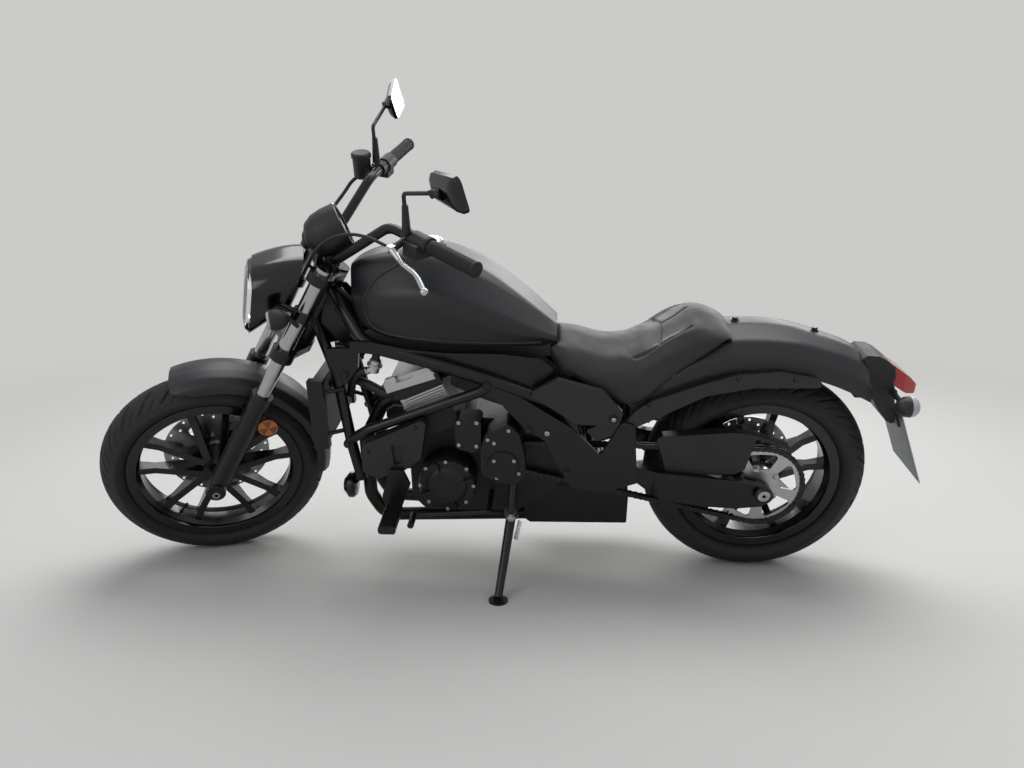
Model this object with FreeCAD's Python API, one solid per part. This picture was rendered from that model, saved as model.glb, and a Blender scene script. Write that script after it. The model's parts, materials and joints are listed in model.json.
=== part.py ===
"""A mid-size cruiser motorcycle, parked on its side stand with the bars turned to the left.

Every piece is drawn on an upright, straight motorcycle: X runs to the rear, Y to the right and Z up,
with X = 0 midway between the axles and the floor at Z = 0. At the end the front assembly is turned
about the steering axis, the whole machine is leaned onto its side stand until both tyres touch the
floor, and the origin is moved to the middle of the machine's footprint. Sizes are in millimetres.
"""
import FreeCAD
import Part
import math
import os

Vec = FreeCAD.Vector

# Driving dimensions of the chassis
WHEELBASE = 1575.0
RAKE = 31.0
TRAIL = 120.0
LEAN = 10.9
STEER_AT_REST = 22.2
RUN_CLEARANCE = 0.3

# Wheels and tyres
FRONT_TYRE_RADIUS = 312.5
FRONT_TYRE_WIDTH = 120.0
FRONT_CROWN_RADIUS = 61.0
FRONT_TYRE_WALL = 83.9
FRONT_RIM_WIDTH = 92.0
REAR_TYRE_RADIUS = 312.0
REAR_TYRE_WIDTH = 160.0
REAR_CROWN_RADIUS = 82.0
REAR_TYRE_WALL = 96.0
REAR_RIM_WIDTH = 118.0
FLANGE_HEIGHT = 13.0
FLANGE_THICKNESS = 6.0
SPOKE_PAIRS = 5
FRONT_HUB_RADIUS = 40.0
REAR_HUB_RADIUS = 58.0
FRONT_HUB_HALF = 47.0
REAR_HUB_HALF = 62.0

# Brakes
FRONT_DISC_RADIUS = 150.0
REAR_DISC_RADIUS = 125.0
DISC_THICKNESS = 5.0
FRONT_DISC_Y = 64.0
REAR_DISC_Y = 82.0

# Final drive
SPROCKET_TEETH = 46
FRONT_SPROCKET_TEETH = 15
CHAIN_PITCH = 15.875
CHAIN_Y = -98.0
CHAIN_INNER_GAP = 9.0
CHAIN_PLATE = 3.5
SPROCKET_THICKNESS = 6.0
FRONT_SPROCKET_X = 85.0
FRONT_SPROCKET_Z = 400.0

# Axles, fork and steering head
AXLE_RADIUS = 10.0
FRONT_AXLE_BORE = 6.0
FRONT_AXLE_LENGTH = 290.0
REAR_AXLE_BORE = 5.0
REAR_AXLE_LENGTH = 312.0
AXLE_CLEARANCE = 0.05
FORK_HALF_SPACING = 105.0
SLIDER_RADIUS = 28.0
STANCHION_RADIUS = 20.5
SLIDER_TOP_S = 672.0
LOWER_YOKE_S = 812.0
UPPER_YOKE_S = 1052.0
YOKE_THICKNESS = 32.0
STEM_RADIUS = 15.0
HEAD_TUBE_RADIUS = 30.0

# Front mudguard: its arc is drawn a little behind and above the axle
FENDER_GAP = 10.0
FENDER_BACK = 24.0
FENDER_UP = 32.0
FENDER_FRONT_ANGLE = 106.0
FENDER_REAR_ANGLE = -14.0
FENDER_HALF_WIDTH = 75.0
FENDER_SKIN = 3.0

# Handlebar
BAR_RADIUS = 12.7
GRIP_RADIUS = 18.0
GRIP_LENGTH = 150.0
BAR_END = (-91.0, 425.0, 1074.0)
BAR_BEND = (-238.0, 168.0, 1080.0)
BAR_CLAMP = (-380.0, 52.0, 945.0)

# Frame tubes and engine
MAIN_TUBE_RADIUS = 19.0
DOWN_TUBE_RADIUS = 15.0
PIVOT_X = 330.0
PIVOT_Z = 385.0
CASE_HALF_WIDTH = 84.0
CYLINDER_TILT = 24.0
CYLINDER_X = -178.0
CYLINDER_Z = 528.0
CYLINDER_HALF_WIDTH = 121.0
FIN_COUNT = 7
FIN_FIRST = -6.0
FIN_PITCH = 7.8
FIN_THICKNESS = 4.0

FRONT_BEAD_RADIUS = FRONT_TYRE_RADIUS - FRONT_TYRE_WALL
REAR_BEAD_RADIUS = REAR_TYRE_RADIUS - REAR_TYRE_WALL
FENDER_REAR_REACH = (FENDER_BACK * math.cos(math.radians(FENDER_REAR_ANGLE))
                     + FENDER_UP * math.sin(math.radians(FENDER_REAR_ANGLE)))
FENDER_RADIUS = FRONT_TYRE_RADIUS + FENDER_GAP + FENDER_SKIN - FENDER_REAR_REACH
FRONT_AXLE_X = -WHEELBASE / 2
REAR_AXLE_X = WHEELBASE / 2
AXIS_GROUND_X = FRONT_AXLE_X - TRAIL
SIN_RAKE = math.sin(math.radians(RAKE))
COS_RAKE = math.cos(math.radians(RAKE))
FORK_OFFSET = FRONT_TYRE_RADIUS * SIN_RAKE - TRAIL * COS_RAKE
AXLE_S = TRAIL * SIN_RAKE + FRONT_TYRE_RADIUS * COS_RAKE
X_AXIS = Vec(1, 0, 0)
Y_AXIS = Vec(0, 1, 0)
Z_AXIS = Vec(0, 0, 1)
STEER_AXIS = Vec(SIN_RAKE, 0, COS_RAKE)
STEER_FORWARD = Vec(-COS_RAKE, 0, SIN_RAKE)
FRONT_AXLE = Vec(FRONT_AXLE_X, 0, FRONT_TYRE_RADIUS)
REAR_AXLE = Vec(REAR_AXLE_X, 0, REAR_TYRE_RADIUS)


# Shared shapes
def on_fork(s, f, y):
    """A point s along the steering axis from the ground, f ahead of the axis, y to the right."""
    return Vec(AXIS_GROUND_X, 0, 0) + STEER_AXIS * s + STEER_FORWARD * f + Vec(0, y, 0)


def rod(radius, start, end):
    start, end = Vec(start), Vec(end)
    return Part.makeCylinder(radius, (end - start).Length, start, end - start)


def cone(radius_start, radius_end, start, end):
    start, end = Vec(start), Vec(end)
    return Part.makeCone(radius_start, radius_end, (end - start).Length, start, end - start)


def block(x0, x1, y0, y1, z0, z1):
    return Part.makeBox(x1 - x0, y1 - y0, z1 - z0, Vec(x0, y0, z0))


def joined(*shapes):
    whole = shapes[0].multiFuse(list(shapes[1:])) if len(shapes) > 1 else shapes[0]
    return whole.removeSplitter()


def mirrored(shape):
    return shape.mirror(Vec(0, 0, 0), Y_AXIS)


def pair(shape):
    """The shape and its twin on the other side, as solids that don't touch."""
    return Part.makeCompound([shape, mirrored(shape)])


def rounded_path(points, bend):
    """Straight runs joined by tangent arcs of radius bend, or less where a run is short."""
    points = [Vec(p) for p in points]
    edges = []
    at = points[0]
    for i in range(1, len(points) - 1):
        back = points[i - 1] - points[i]
        ahead = points[i + 1] - points[i]
        turn = math.pi - back.getAngle(ahead)
        shorter = min(back.Length, ahead.Length)
        trim = min(bend * math.tan(turn / 2), 0.45 * shorter)
        radius = trim / math.tan(turn / 2)
        back.normalize()
        ahead.normalize()
        start = points[i] + back * trim
        end = points[i] + ahead * trim
        to_centre = back + ahead
        to_centre.normalize()
        centre = points[i] + to_centre * (radius / math.cos(turn / 2))
        middle = centre - to_centre * radius
        edges.append(Part.LineSegment(at, start).toShape())
        edges.append(Part.Arc(start, middle, end).toShape())
        at = end
    edges.append(Part.LineSegment(at, points[-1]).toShape())
    return Part.Wire(edges)


def tube(points, radius, bend):
    path = rounded_path(points, bend)
    start, after = Vec(points[0]), Vec(points[1])
    ring = Part.Wire([Part.Circle(start, after - start, radius).toShape()])
    return path.makePipeShell([ring], True, False)


def outline(points, corner):
    """A closed wire through (u, v) points, every corner rounded by corner or its own third value."""
    count = len(points)
    edges = []
    ends = []
    for i in range(count):
        radius = points[i][2] if len(points[i]) > 2 else corner
        here = Vec(points[i][0], points[i][1], 0)
        before = Vec(points[i - 1][0], points[i - 1][1], 0)
        after = Vec(points[(i + 1) % count][0], points[(i + 1) % count][1], 0)
        back, ahead = before - here, after - here
        turn = math.pi - back.getAngle(ahead)
        trim = radius * math.tan(turn / 2)
        trim = min(trim, 0.49 * back.Length, 0.49 * ahead.Length)
        if trim < 0.01:
            ends.append((here, None, here))
            continue
        radius = trim / math.tan(turn / 2)
        back.normalize()
        ahead.normalize()
        to_centre = back + ahead
        to_centre.normalize()
        centre = here + to_centre * (radius / math.cos(turn / 2))
        ends.append((here + back * trim, centre - to_centre * radius, here + ahead * trim))
    for i in range(count):
        start, middle, end = ends[i]
        if middle is not None:
            edges.append(Part.Arc(start, middle, end).toShape())
        following = ends[(i + 1) % count][0]
        edges.append(Part.LineSegment(end, following).toShape())
    return Part.Wire(edges)


def side_plate(points, y0, y1, corner=8.0):
    """A plate whose outline is drawn in side view, (x, z) points, between y0 and y1."""
    wire = outline(points, corner)
    wire.rotate(Vec(0, 0, 0), X_AXIS, 90)
    wire.translate(Vec(0, y0, 0))
    return Part.Face(wire).extrude(Vec(0, y1 - y0, 0))


def cross_section(centre, u_dir, v_dir, half_u, half_v, corner):
    """A rounded rectangle round centre, with its half sizes along u_dir and v_dir."""
    u_dir, v_dir = Vec(u_dir), Vec(v_dir)
    u_dir.normalize()
    v_dir.normalize()
    wire = outline([(-half_u, -half_v), (half_u, -half_v), (half_u, half_v), (-half_u, half_v)], corner)
    normal = u_dir.cross(v_dir)
    place = FreeCAD.Matrix(u_dir.x, v_dir.x, normal.x, centre[0],
                           u_dir.y, v_dir.y, normal.y, centre[1],
                           u_dir.z, v_dir.z, normal.z, centre[2],
                           0, 0, 0, 1)
    wire.transformShape(place)
    return wire


def loft(wires, ruled=False):
    return Part.makeLoft(wires, True, ruled)


def revolved(profile, centre, axis=Y_AXIS, start=X_AXIS):
    """Turns a closed (radius, along) profile about an axis through centre."""
    axis, start = Vec(axis), Vec(start)
    axis.normalize()
    start.normalize()
    wire = outline(profile, 0.0)
    normal = start.cross(axis)
    wire.transformShape(FreeCAD.Matrix(start.x, axis.x, normal.x, centre[0],
                                       start.y, axis.y, normal.y, centre[1],
                                       start.z, axis.z, normal.z, centre[2],
                                       0, 0, 0, 1))
    return Part.Face(wire).revolve(Vec(centre), axis, 360)


# Wheels
def tyre(centre, radius, width, crown, bead, rim_width):
    """A revolved section: beads in the rim, bulging walls and a round crown, hollow as a real tyre."""
    crown_angle = math.radians(62)
    crown_y = crown * math.sin(crown_angle)
    crown_r = radius - crown + crown * math.cos(crown_angle)
    bead_y = rim_width / 2 - FLANGE_THICKNESS - RUN_CLEARANCE
    flange_top = bead + FLANGE_HEIGHT + 2
    wall_r = (crown_r + flange_top) / 2
    bead_r = bead + RUN_CLEARANCE

    def point(r, y):
        return Vec(centre.x + r, y, centre.z)
    edges = [
        Part.Arc(point(crown_r, -crown_y), point(radius, 0), point(crown_r, crown_y)).toShape(),
        Part.Arc(point(crown_r, crown_y), point(wall_r, width / 2), point(flange_top, bead_y)).toShape(),
        Part.LineSegment(point(flange_top, bead_y), point(bead_r, bead_y)).toShape(),
        Part.LineSegment(point(bead_r, bead_y), point(bead_r, -bead_y)).toShape(),
        Part.LineSegment(point(bead_r, -bead_y), point(flange_top, -bead_y)).toShape(),
        Part.Arc(point(flange_top, -bead_y), point(wall_r, -width / 2), point(crown_r, -crown_y)).toShape(),
    ]
    return Part.Face(Part.Wire(edges)).revolve(centre, Y_AXIS, 360)


def front_tyre():
    return tyre(FRONT_AXLE, FRONT_TYRE_RADIUS, FRONT_TYRE_WIDTH, FRONT_CROWN_RADIUS, FRONT_BEAD_RADIUS,
                FRONT_RIM_WIDTH)


def rear_tyre():
    return tyre(REAR_AXLE, REAR_TYRE_RADIUS, REAR_TYRE_WIDTH, REAR_CROWN_RADIUS, REAR_BEAD_RADIUS, REAR_RIM_WIDTH)


def spoke_pair(hub, rim, phase):
    """Two spokes that start close together at the hub and spread a little towards the rim."""
    inner_spread, outer_spread = 16.0, 50.0
    spokes = []
    for side in (-1, 1):
        points = [(hub * 0.5, side * (inner_spread - 10)), (rim, side * (outer_spread - 9)),
                  (rim, side * (outer_spread + 11)), (hub * 0.5, side * (inner_spread + 12))]
        face = Part.Face(outline(points, 0.0))
        spokes.append(face)
    turned = []
    for face in spokes:
        face.rotate(Vec(0, 0, 0), X_AXIS, 90)
        face.rotate(Vec(0, 0, 0), Y_AXIS, -phase)
        turned.append(face)
    return turned


def cast_wheel(centre, bead, rim_width, hub_radius, hub_half, phase):
    """A cast wheel: flanged rim barrel, five pairs of spokes, and a bored hub."""
    half = rim_width / 2
    barrel = 9.0
    well = 20.0
    rim_profile = [
        (bead - barrel, -half + 16), (bead - barrel - 4, -half), (bead + FLANGE_HEIGHT, -half),
        (bead + FLANGE_HEIGHT, -half + FLANGE_THICKNESS), (bead, -half + FLANGE_THICKNESS),
        (bead, -half + 20), (bead - well + barrel, -half + 34), (bead - well + barrel, half - 34),
        (bead, half - 20), (bead, half - FLANGE_THICKNESS), (bead + FLANGE_HEIGHT, half - FLANGE_THICKNESS),
        (bead + FLANGE_HEIGHT, half), (bead - barrel - 4, half), (bead - barrel, half - 16),
        (bead - well, half - 30), (bead - well, -half + 30)]
    rim = revolved(rim_profile, centre)
    web_profile = [(hub_radius * 0.6, -hub_half * 0.75), (hub_radius + 22, -hub_half * 0.62),
                   (bead - 60, -13.0), (bead - well + 4, -20.0), (bead - well + 4, 20.0),
                   (bead - 60, 13.0), (hub_radius + 22, hub_half * 0.62), (hub_radius * 0.6, hub_half * 0.75)]
    dish = revolved(web_profile, centre)
    spokes = []
    for index in range(SPOKE_PAIRS):
        for face in spoke_pair(hub_radius, bead - well + 2, phase + index * 360.0 / SPOKE_PAIRS):
            spokes.append(face.extrude(Vec(0, rim_width, 0)))
    star = joined(*spokes)
    star.translate(Vec(centre.x, -half, centre.z))
    spokes = star.common(dish)
    hub = rod(hub_radius, centre + Vec(0, -hub_half, 0), centre + Vec(0, hub_half, 0))
    bore = rod(AXLE_RADIUS + AXLE_CLEARANCE, centre + Vec(0, -hub_half - 5, 0), centre + Vec(0, hub_half + 5, 0))
    return joined(rim, spokes, hub).cut(bore)


def brake_disc(centre, radius, y, carrier_radius, bore, hole_count, thickness=DISC_THICKNESS):
    """A brake disc with a ring of drain holes and open windows between the rotor and its carrier."""
    at = Vec(centre.x, y, centre.z)
    low, high = at - Y_AXIS * (thickness / 2), at + Y_AXIS * (thickness / 2)
    disc = rod(radius, low, high).cut(rod(bore, low - Y_AXIS, high + Y_AXIS))
    cuts = []
    for index in range(6):
        angle = math.radians(index * 60.0)
        mid = (carrier_radius + radius - 32) / 2
        point = at + Vec(mid * math.cos(angle), 0, mid * math.sin(angle))
        cuts.append(rod(15.0, point - Y_AXIS * thickness, point + Y_AXIS * thickness))
    for index in range(hole_count):
        angle = math.radians(index * 360.0 / hole_count)
        reach = radius - 9 - 13 * (index % 2)
        point = at + Vec(reach * math.cos(angle), 0, reach * math.sin(angle))
        cuts.append(rod(4.0, point - Y_AXIS * thickness, point + Y_AXIS * thickness))
    for cut in cuts:
        disc = disc.cut(cut)
    return disc


def front_rim():
    return cast_wheel(FRONT_AXLE, FRONT_BEAD_RADIUS, FRONT_RIM_WIDTH, FRONT_HUB_RADIUS, FRONT_HUB_HALF, 14.0)


def rear_rim():
    return cast_wheel(REAR_AXLE, REAR_BEAD_RADIUS, REAR_RIM_WIDTH, REAR_HUB_RADIUS, REAR_HUB_HALF, 20.0)


def front_disc():
    disc = brake_disc(FRONT_AXLE, FRONT_DISC_RADIUS, FRONT_DISC_Y, 78.0, AXLE_RADIUS + AXLE_CLEARANCE, 30)
    seat = rod(FRONT_HUB_RADIUS - 6, FRONT_AXLE + Vec(0, FRONT_HUB_HALF, 0),
               FRONT_AXLE + Vec(0, FRONT_DISC_Y, 0))
    bore = rod(AXLE_RADIUS + AXLE_CLEARANCE, FRONT_AXLE, FRONT_AXLE + Vec(0, 100, 0))
    return joined(disc, seat).cut(bore)


def rear_disc():
    disc = brake_disc(REAR_AXLE, REAR_DISC_RADIUS, REAR_DISC_Y, 62.0, AXLE_RADIUS + AXLE_CLEARANCE, 24)
    seat = rod(REAR_HUB_RADIUS - 14, REAR_AXLE + Vec(0, REAR_HUB_HALF, 0), REAR_AXLE + Vec(0, REAR_DISC_Y, 0))
    bore = rod(AXLE_RADIUS + AXLE_CLEARANCE, REAR_AXLE, REAR_AXLE + Vec(0, 120, 0))
    return joined(disc, seat).cut(bore)


def sprocket_radius(teeth):
    return CHAIN_PITCH / (2 * math.sin(math.pi / teeth))


def rear_sprocket():
    """A toothed ring on a five-armed carrier, open between the arms."""
    pitch_radius = sprocket_radius(SPROCKET_TEETH)
    points = []
    for tooth in range(SPROCKET_TEETH):
        for share, reach in ((0.0, -4.6), (0.3, -1.5), (0.42, 4.0), (0.58, 4.0), (0.7, -1.5)):
            angle = 2 * math.pi * (tooth + share) / SPROCKET_TEETH
            radius = pitch_radius + reach
            points.append(Vec(radius * math.cos(angle), 0, radius * math.sin(angle)))
    ring = Part.Face(Part.makePolygon(points + [points[0]]))
    y0 = CHAIN_Y - SPROCKET_THICKNESS / 2
    body = ring.extrude(Vec(0, SPROCKET_THICKNESS, 0))
    body.translate(Vec(REAR_AXLE_X, y0, REAR_TYRE_RADIUS))
    at = Vec(REAR_AXLE_X, y0, REAR_TYRE_RADIUS)
    windows = []
    for index in range(5):
        points = [(52, -22, 8), (96, -46, 10), (99, 0, 60), (96, 46, 10), (52, 22, 8)]
        face = Part.Face(outline(points, 8.0))
        face.rotate(Vec(0, 0, 0), X_AXIS, 90)
        face.rotate(Vec(0, 0, 0), Y_AXIS, -(18.0 + index * 72.0))
        window = face.extrude(Vec(0, 3 * SPROCKET_THICKNESS, 0))
        window.translate(at - Vec(0, SPROCKET_THICKNESS, 0))
        windows.append(window)
    for window in windows:
        body = body.cut(window)
    inner = -REAR_HUB_HALF
    carrier = rod(50.0, Vec(at.x, y0 + SPROCKET_THICKNESS, at.z), Vec(at.x, inner, at.z))
    bore = rod(AXLE_RADIUS + AXLE_CLEARANCE, at - Vec(0, 40, 0), Vec(at.x, inner + 10, at.z))
    return joined(body, carrier).cut(bore)


def chain():
    """A closed loop of side plates round both sprockets, with rollers between them on the free runs."""
    big, small = sprocket_radius(SPROCKET_TEETH), sprocket_radius(FRONT_SPROCKET_TEETH)
    rear = Vec(REAR_AXLE_X, 0, REAR_TYRE_RADIUS)
    front = Vec(FRONT_SPROCKET_X, 0, FRONT_SPROCKET_Z)
    between = rear - front
    span = between.Length
    slope = math.atan2(between.z, between.x)
    wrap = math.asin((big - small) / span)
    run = math.sqrt(span ** 2 - (big - small) ** 2)
    front_arc = small * (math.pi - 2 * wrap)
    rear_arc = big * (math.pi + 2 * wrap)
    length = 2 * run + front_arc + rear_arc
    links = 2 * round(length / CHAIN_PITCH / 2)
    up = slope + math.pi / 2 + wrap
    down = slope - math.pi / 2 - wrap

    def on_loop(distance):
        """The point, outward direction and free-run depth at a distance round the loop."""
        distance = distance % length
        if distance < run:
            start = front + Vec(math.cos(up), 0, math.sin(up)) * small
            end = rear + Vec(math.cos(up), 0, math.sin(up)) * big
            return start + (end - start) * (distance / run), up, min(distance, run - distance)
        distance -= run
        if distance < rear_arc:
            angle = up - distance / big
            return rear + Vec(math.cos(angle), 0, math.sin(angle)) * big, angle, -1.0
        distance -= rear_arc
        if distance < run:
            start = rear + Vec(math.cos(down), 0, math.sin(down)) * big
            end = front + Vec(math.cos(down), 0, math.sin(down)) * small
            return start + (end - start) * (distance / run), down, min(distance, run - distance)
        distance -= run
        angle = down - distance / small
        return front + Vec(math.cos(angle), 0, math.sin(angle)) * small, angle, -1.0

    outer, inner, rollers = [], [], []
    for index in range(links):
        for share, half in ((0.0, 7.4), (0.5, 5.2)):
            point, angle, depth = on_loop((index + share) * length / links)
            way = Vec(math.cos(angle), 0, math.sin(angle))
            outer.append(point + way * half)
            inner.append(point - way * half)
            if share == 0.0 and depth > 62.0:
                rollers.append(point)
    plates = Part.Face(Part.makePolygon(outer + [outer[0]])).cut(Part.Face(Part.makePolygon(inner + [inner[0]])))
    half_gap = CHAIN_INNER_GAP / 2
    pieces = []
    for y in (CHAIN_Y - half_gap - CHAIN_PLATE, CHAIN_Y + half_gap):
        row = plates.extrude(Vec(0, CHAIN_PLATE, 0))
        row.translate(Vec(0, y, 0))
        pieces.append(row)
    for point in rollers[::2]:
        low = Vec(point.x, CHAIN_Y - half_gap - 1, point.z)
        pieces.append(rod(4.6, low, low + Vec(0, CHAIN_INNER_GAP + 2, 0)))
    return joined(*pieces)


# Fork and steering
def fork_sliders():
    """The lower fork legs, each with its axle clamp and a taper to the dust seal."""
    low = on_fork(AXLE_S - 26, FORK_OFFSET, -FORK_HALF_SPACING)
    mid = on_fork(AXLE_S + 60, FORK_OFFSET, -FORK_HALF_SPACING)
    top = on_fork(SLIDER_TOP_S, FORK_OFFSET, -FORK_HALF_SPACING)
    neck = on_fork(SLIDER_TOP_S - 40, FORK_OFFSET, -FORK_HALF_SPACING)
    leg = joined(cone(23.0, SLIDER_RADIUS - 1, low, mid),
                 rod(SLIDER_RADIUS - 1, mid, neck), rod(SLIDER_RADIUS + 2, neck, top))
    seat = rod(STANCHION_RADIUS, on_fork(SLIDER_TOP_S - 60, FORK_OFFSET, -FORK_HALF_SPACING), top)
    clamp = rod(26.0, FRONT_AXLE + Vec(0, -FORK_HALF_SPACING - 30, 0),
                FRONT_AXLE + Vec(0, -FORK_HALF_SPACING + 22, 0))
    bore = rod(AXLE_RADIUS, FRONT_AXLE + Vec(0, -200, 0), FRONT_AXLE)
    at = on_fork(AXLE_S + 265, FORK_OFFSET, 0)
    inner, outer = FENDER_HALF_WIDTH - 2, FORK_HALF_SPACING - 15
    lug = Part.makeBox(44, outer - inner, 44, Vec(at.x - 22, -outer, at.z - 22))
    leg = joined(leg, clamp, lug).cut(seat).cut(bore)
    return pair(leg)


def fork_stanchions():
    low = on_fork(SLIDER_TOP_S - 60, FORK_OFFSET, -FORK_HALF_SPACING)
    top = on_fork(UPPER_YOKE_S + YOKE_THICKNESS / 2 + 12, FORK_OFFSET, -FORK_HALF_SPACING)
    return pair(rod(STANCHION_RADIUS, low, top))


def yoke(s, thickness, hub_radius):
    """A fork clamp: two eyes, a web across, and a hub on the steering axis."""
    eye = rod(STANCHION_RADIUS + 12, on_fork(s - thickness / 2, FORK_OFFSET, -FORK_HALF_SPACING),
              on_fork(s + thickness / 2, FORK_OFFSET, -FORK_HALF_SPACING))
    hub = rod(hub_radius, on_fork(s - thickness / 2, 0, 0), on_fork(s + thickness / 2, 0, 0))
    web_points = [(-20, -34), (FORK_OFFSET - 22, -FORK_HALF_SPACING - 8), (FORK_OFFSET + 22, -FORK_HALF_SPACING - 8),
                  (FORK_OFFSET + 4, 0), (FORK_OFFSET + 22, FORK_HALF_SPACING + 8),
                  (FORK_OFFSET - 22, FORK_HALF_SPACING + 8), (-20, 34)]
    wire = outline(web_points, 6.0)
    wire.transformShape(FreeCAD.Matrix(STEER_FORWARD.x, 0, STEER_AXIS.x, 0,
                                       STEER_FORWARD.y, 1, STEER_AXIS.y, 0,
                                       STEER_FORWARD.z, 0, STEER_AXIS.z, 0,
                                       0, 0, 0, 1))
    wire.translate(on_fork(s - thickness / 2 + 4, 0, 0))
    web = Part.Face(wire).extrude(STEER_AXIS * (thickness - 8))
    body = joined(web, hub, eye, mirrored(eye))
    for side in (-1, 1):
        body = body.cut(rod(STANCHION_RADIUS, on_fork(s - thickness, FORK_OFFSET, side * FORK_HALF_SPACING),
                            on_fork(s + thickness, FORK_OFFSET, side * FORK_HALF_SPACING)))
    return body


def lower_yoke():
    stem = rod(STEM_RADIUS, on_fork(LOWER_YOKE_S, 0, 0), on_fork(UPPER_YOKE_S - YOKE_THICKNESS / 2, 0, 0))
    return joined(yoke(LOWER_YOKE_S, YOKE_THICKNESS, 34.0), stem)


def upper_yoke():
    """The top fork clamp with the two handlebar risers and their caps."""
    body = yoke(UPPER_YOKE_S, YOKE_THICKNESS - 4, 30.0)
    risers = []
    for side in (-1, 1):
        grip = Vec(BAR_CLAMP[0], side * (BAR_CLAMP[1] - 12), BAR_CLAMP[2])
        foot = on_fork(UPPER_YOKE_S, 14, side * (BAR_CLAMP[1] - 12))
        risers.append(rod(16.0, foot, grip))
        risers.append(rod(BAR_RADIUS + 8, grip - Vec(0, 14, 0), grip + Vec(0, 14, 0)))
    return joined(body, *risers)


def handlebar_points():
    end, bend, clamp = Vec(BAR_END), Vec(BAR_BEND), Vec(BAR_CLAMP)

    def left(point):
        return Vec(point.x, -point.y, point.z)
    return [left(end), left(bend), left(clamp), clamp, bend, end]


def handlebar():
    return tube(handlebar_points(), BAR_RADIUS, 70.0)


def grip_line():
    """The bar end and the inner end of the left grip."""
    end, bend = Vec(BAR_END[0], -BAR_END[1], BAR_END[2]), Vec(BAR_BEND[0], -BAR_BEND[1], BAR_BEND[2])
    inward = bend - end
    inward.normalize()
    return end, inward


def grips():
    end, inward = grip_line()
    sleeve = rod(GRIP_RADIUS, end, end + inward * GRIP_LENGTH)
    collar = rod(GRIP_RADIUS + 4, end + inward * (GRIP_LENGTH - 6), end + inward * GRIP_LENGTH)
    cap = rod(GRIP_RADIUS + 1, end - inward * 9, end)
    return pair(joined(sleeve, collar, cap))


LEVER_PIVOT = (-249.0, -266.0, 1066.0)
LEVER_ELBOW = (-232.0, -310.0, 1046.0)
LEVER_WAVE = (-211.0, -360.0, 1042.0)
LEVER_TIP = (-202.0, -405.0, 1021.0)
RESERVOIR_FOOT = (-250.0, 250.0, 1052.0)


def switch_housings():
    """The switch boxes beside the grips and the lever perches inboard of them."""
    end, inward = grip_line()
    start = end + inward * (GRIP_LENGTH + 0.5)
    case = rod(22.0, start, start + inward * 50)
    pod = Part.makeBox(50, 46, 34, Vec(-25, -23, -17))
    pod.Placement = FreeCAD.Placement(start + inward * 25 + Vec(-12, 0, -14), FreeCAD.Rotation(Y_AXIS, inward * -1))
    perch = rod(18.0, start + inward * 53, start + inward * 82)
    arm = rod(9.0, start + inward * 68, Vec(LEVER_PIVOT))
    left = joined(case, pod, perch, arm)
    foot = Vec(RESERVOIR_FOOT)
    cup = revolved([(0, 0), (22, 0), (25, 6), (25, 56), (28, 58), (28, 68), (24, 72), (0, 72)], foot, Z_AXIS, X_AXIS)
    on_bar = start + inward * 68
    neck = rod(9.0, Vec(on_bar.x, -on_bar.y, on_bar.z), foot + Vec(0, 0, 8))
    return Part.makeCompound([left, joined(mirrored(left), cup, neck)])


def levers():
    """The clutch and brake levers: a forked root at the pivot, a waved blade and a ball at the tip."""
    pivot, elbow, tip = Vec(LEVER_PIVOT), Vec(LEVER_ELBOW), Vec(LEVER_TIP)
    blade = tube([pivot, elbow, Vec(LEVER_WAVE), tip], 6.0, 60.0)
    ball = Part.makeSphere(9.5, tip)
    pin = rod(9.0, pivot + Vec(0, 0, 10), pivot - Vec(0, 0, 10))
    root = cone(10.0, 7.0, pivot, pivot + (elbow - pivot) * 0.7)
    return pair(joined(blade, ball, pin, root))


MIRROR_FOOT = (-209.0, -247.0, 1100.0)
MIRROR_SLEEVE_TOP = (-208.0, -245.0, 1162.0)
MIRROR_KNEE = (-210.0, -250.0, 1192.0)
MIRROR_ARM_END = (-158.0, -340.0, 1222.0)
MIRROR_CENTRE = (-122.0, -352.0, 1231.0)
MIRROR_INBOARD = (-0.292, 0.949, -0.120)
MIRROR_DOWN = (0.250, -0.046, -0.967)
MIRROR_HALF_WIDTH = 64.0
MIRROR_INNER_HALF_HEIGHT = 34.0
MIRROR_OUTER_HALF_HEIGHT = 44.0
MIRROR_RIM = 6.0


def mirror_back():
    """The direction that a left mirror's back faces, forward and a little out."""
    back = Vec(*MIRROR_INBOARD).cross(Vec(*MIRROR_DOWN))
    back.normalize()
    return back


def mirror_section(depth, shrink, corner):
    """The tapered outline of a mirror, so far in front of its glass and so much smaller all round."""
    across, down, back = Vec(*MIRROR_INBOARD), Vec(*MIRROR_DOWN), mirror_back()
    width = MIRROR_HALF_WIDTH - shrink
    outer, inner = MIRROR_OUTER_HALF_HEIGHT - shrink, MIRROR_INNER_HALF_HEIGHT - shrink
    wire = outline([(-width, -outer), (width, -inner), (width, inner), (-width, outer)], corner)
    centre = Vec(MIRROR_CENTRE) + back * depth
    wire.transformShape(FreeCAD.Matrix(across.x, down.x, back.x, centre.x,
                                       across.y, down.y, back.y, centre.y,
                                       across.z, down.z, back.z, centre.z,
                                       0, 0, 0, 1))
    return wire


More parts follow.
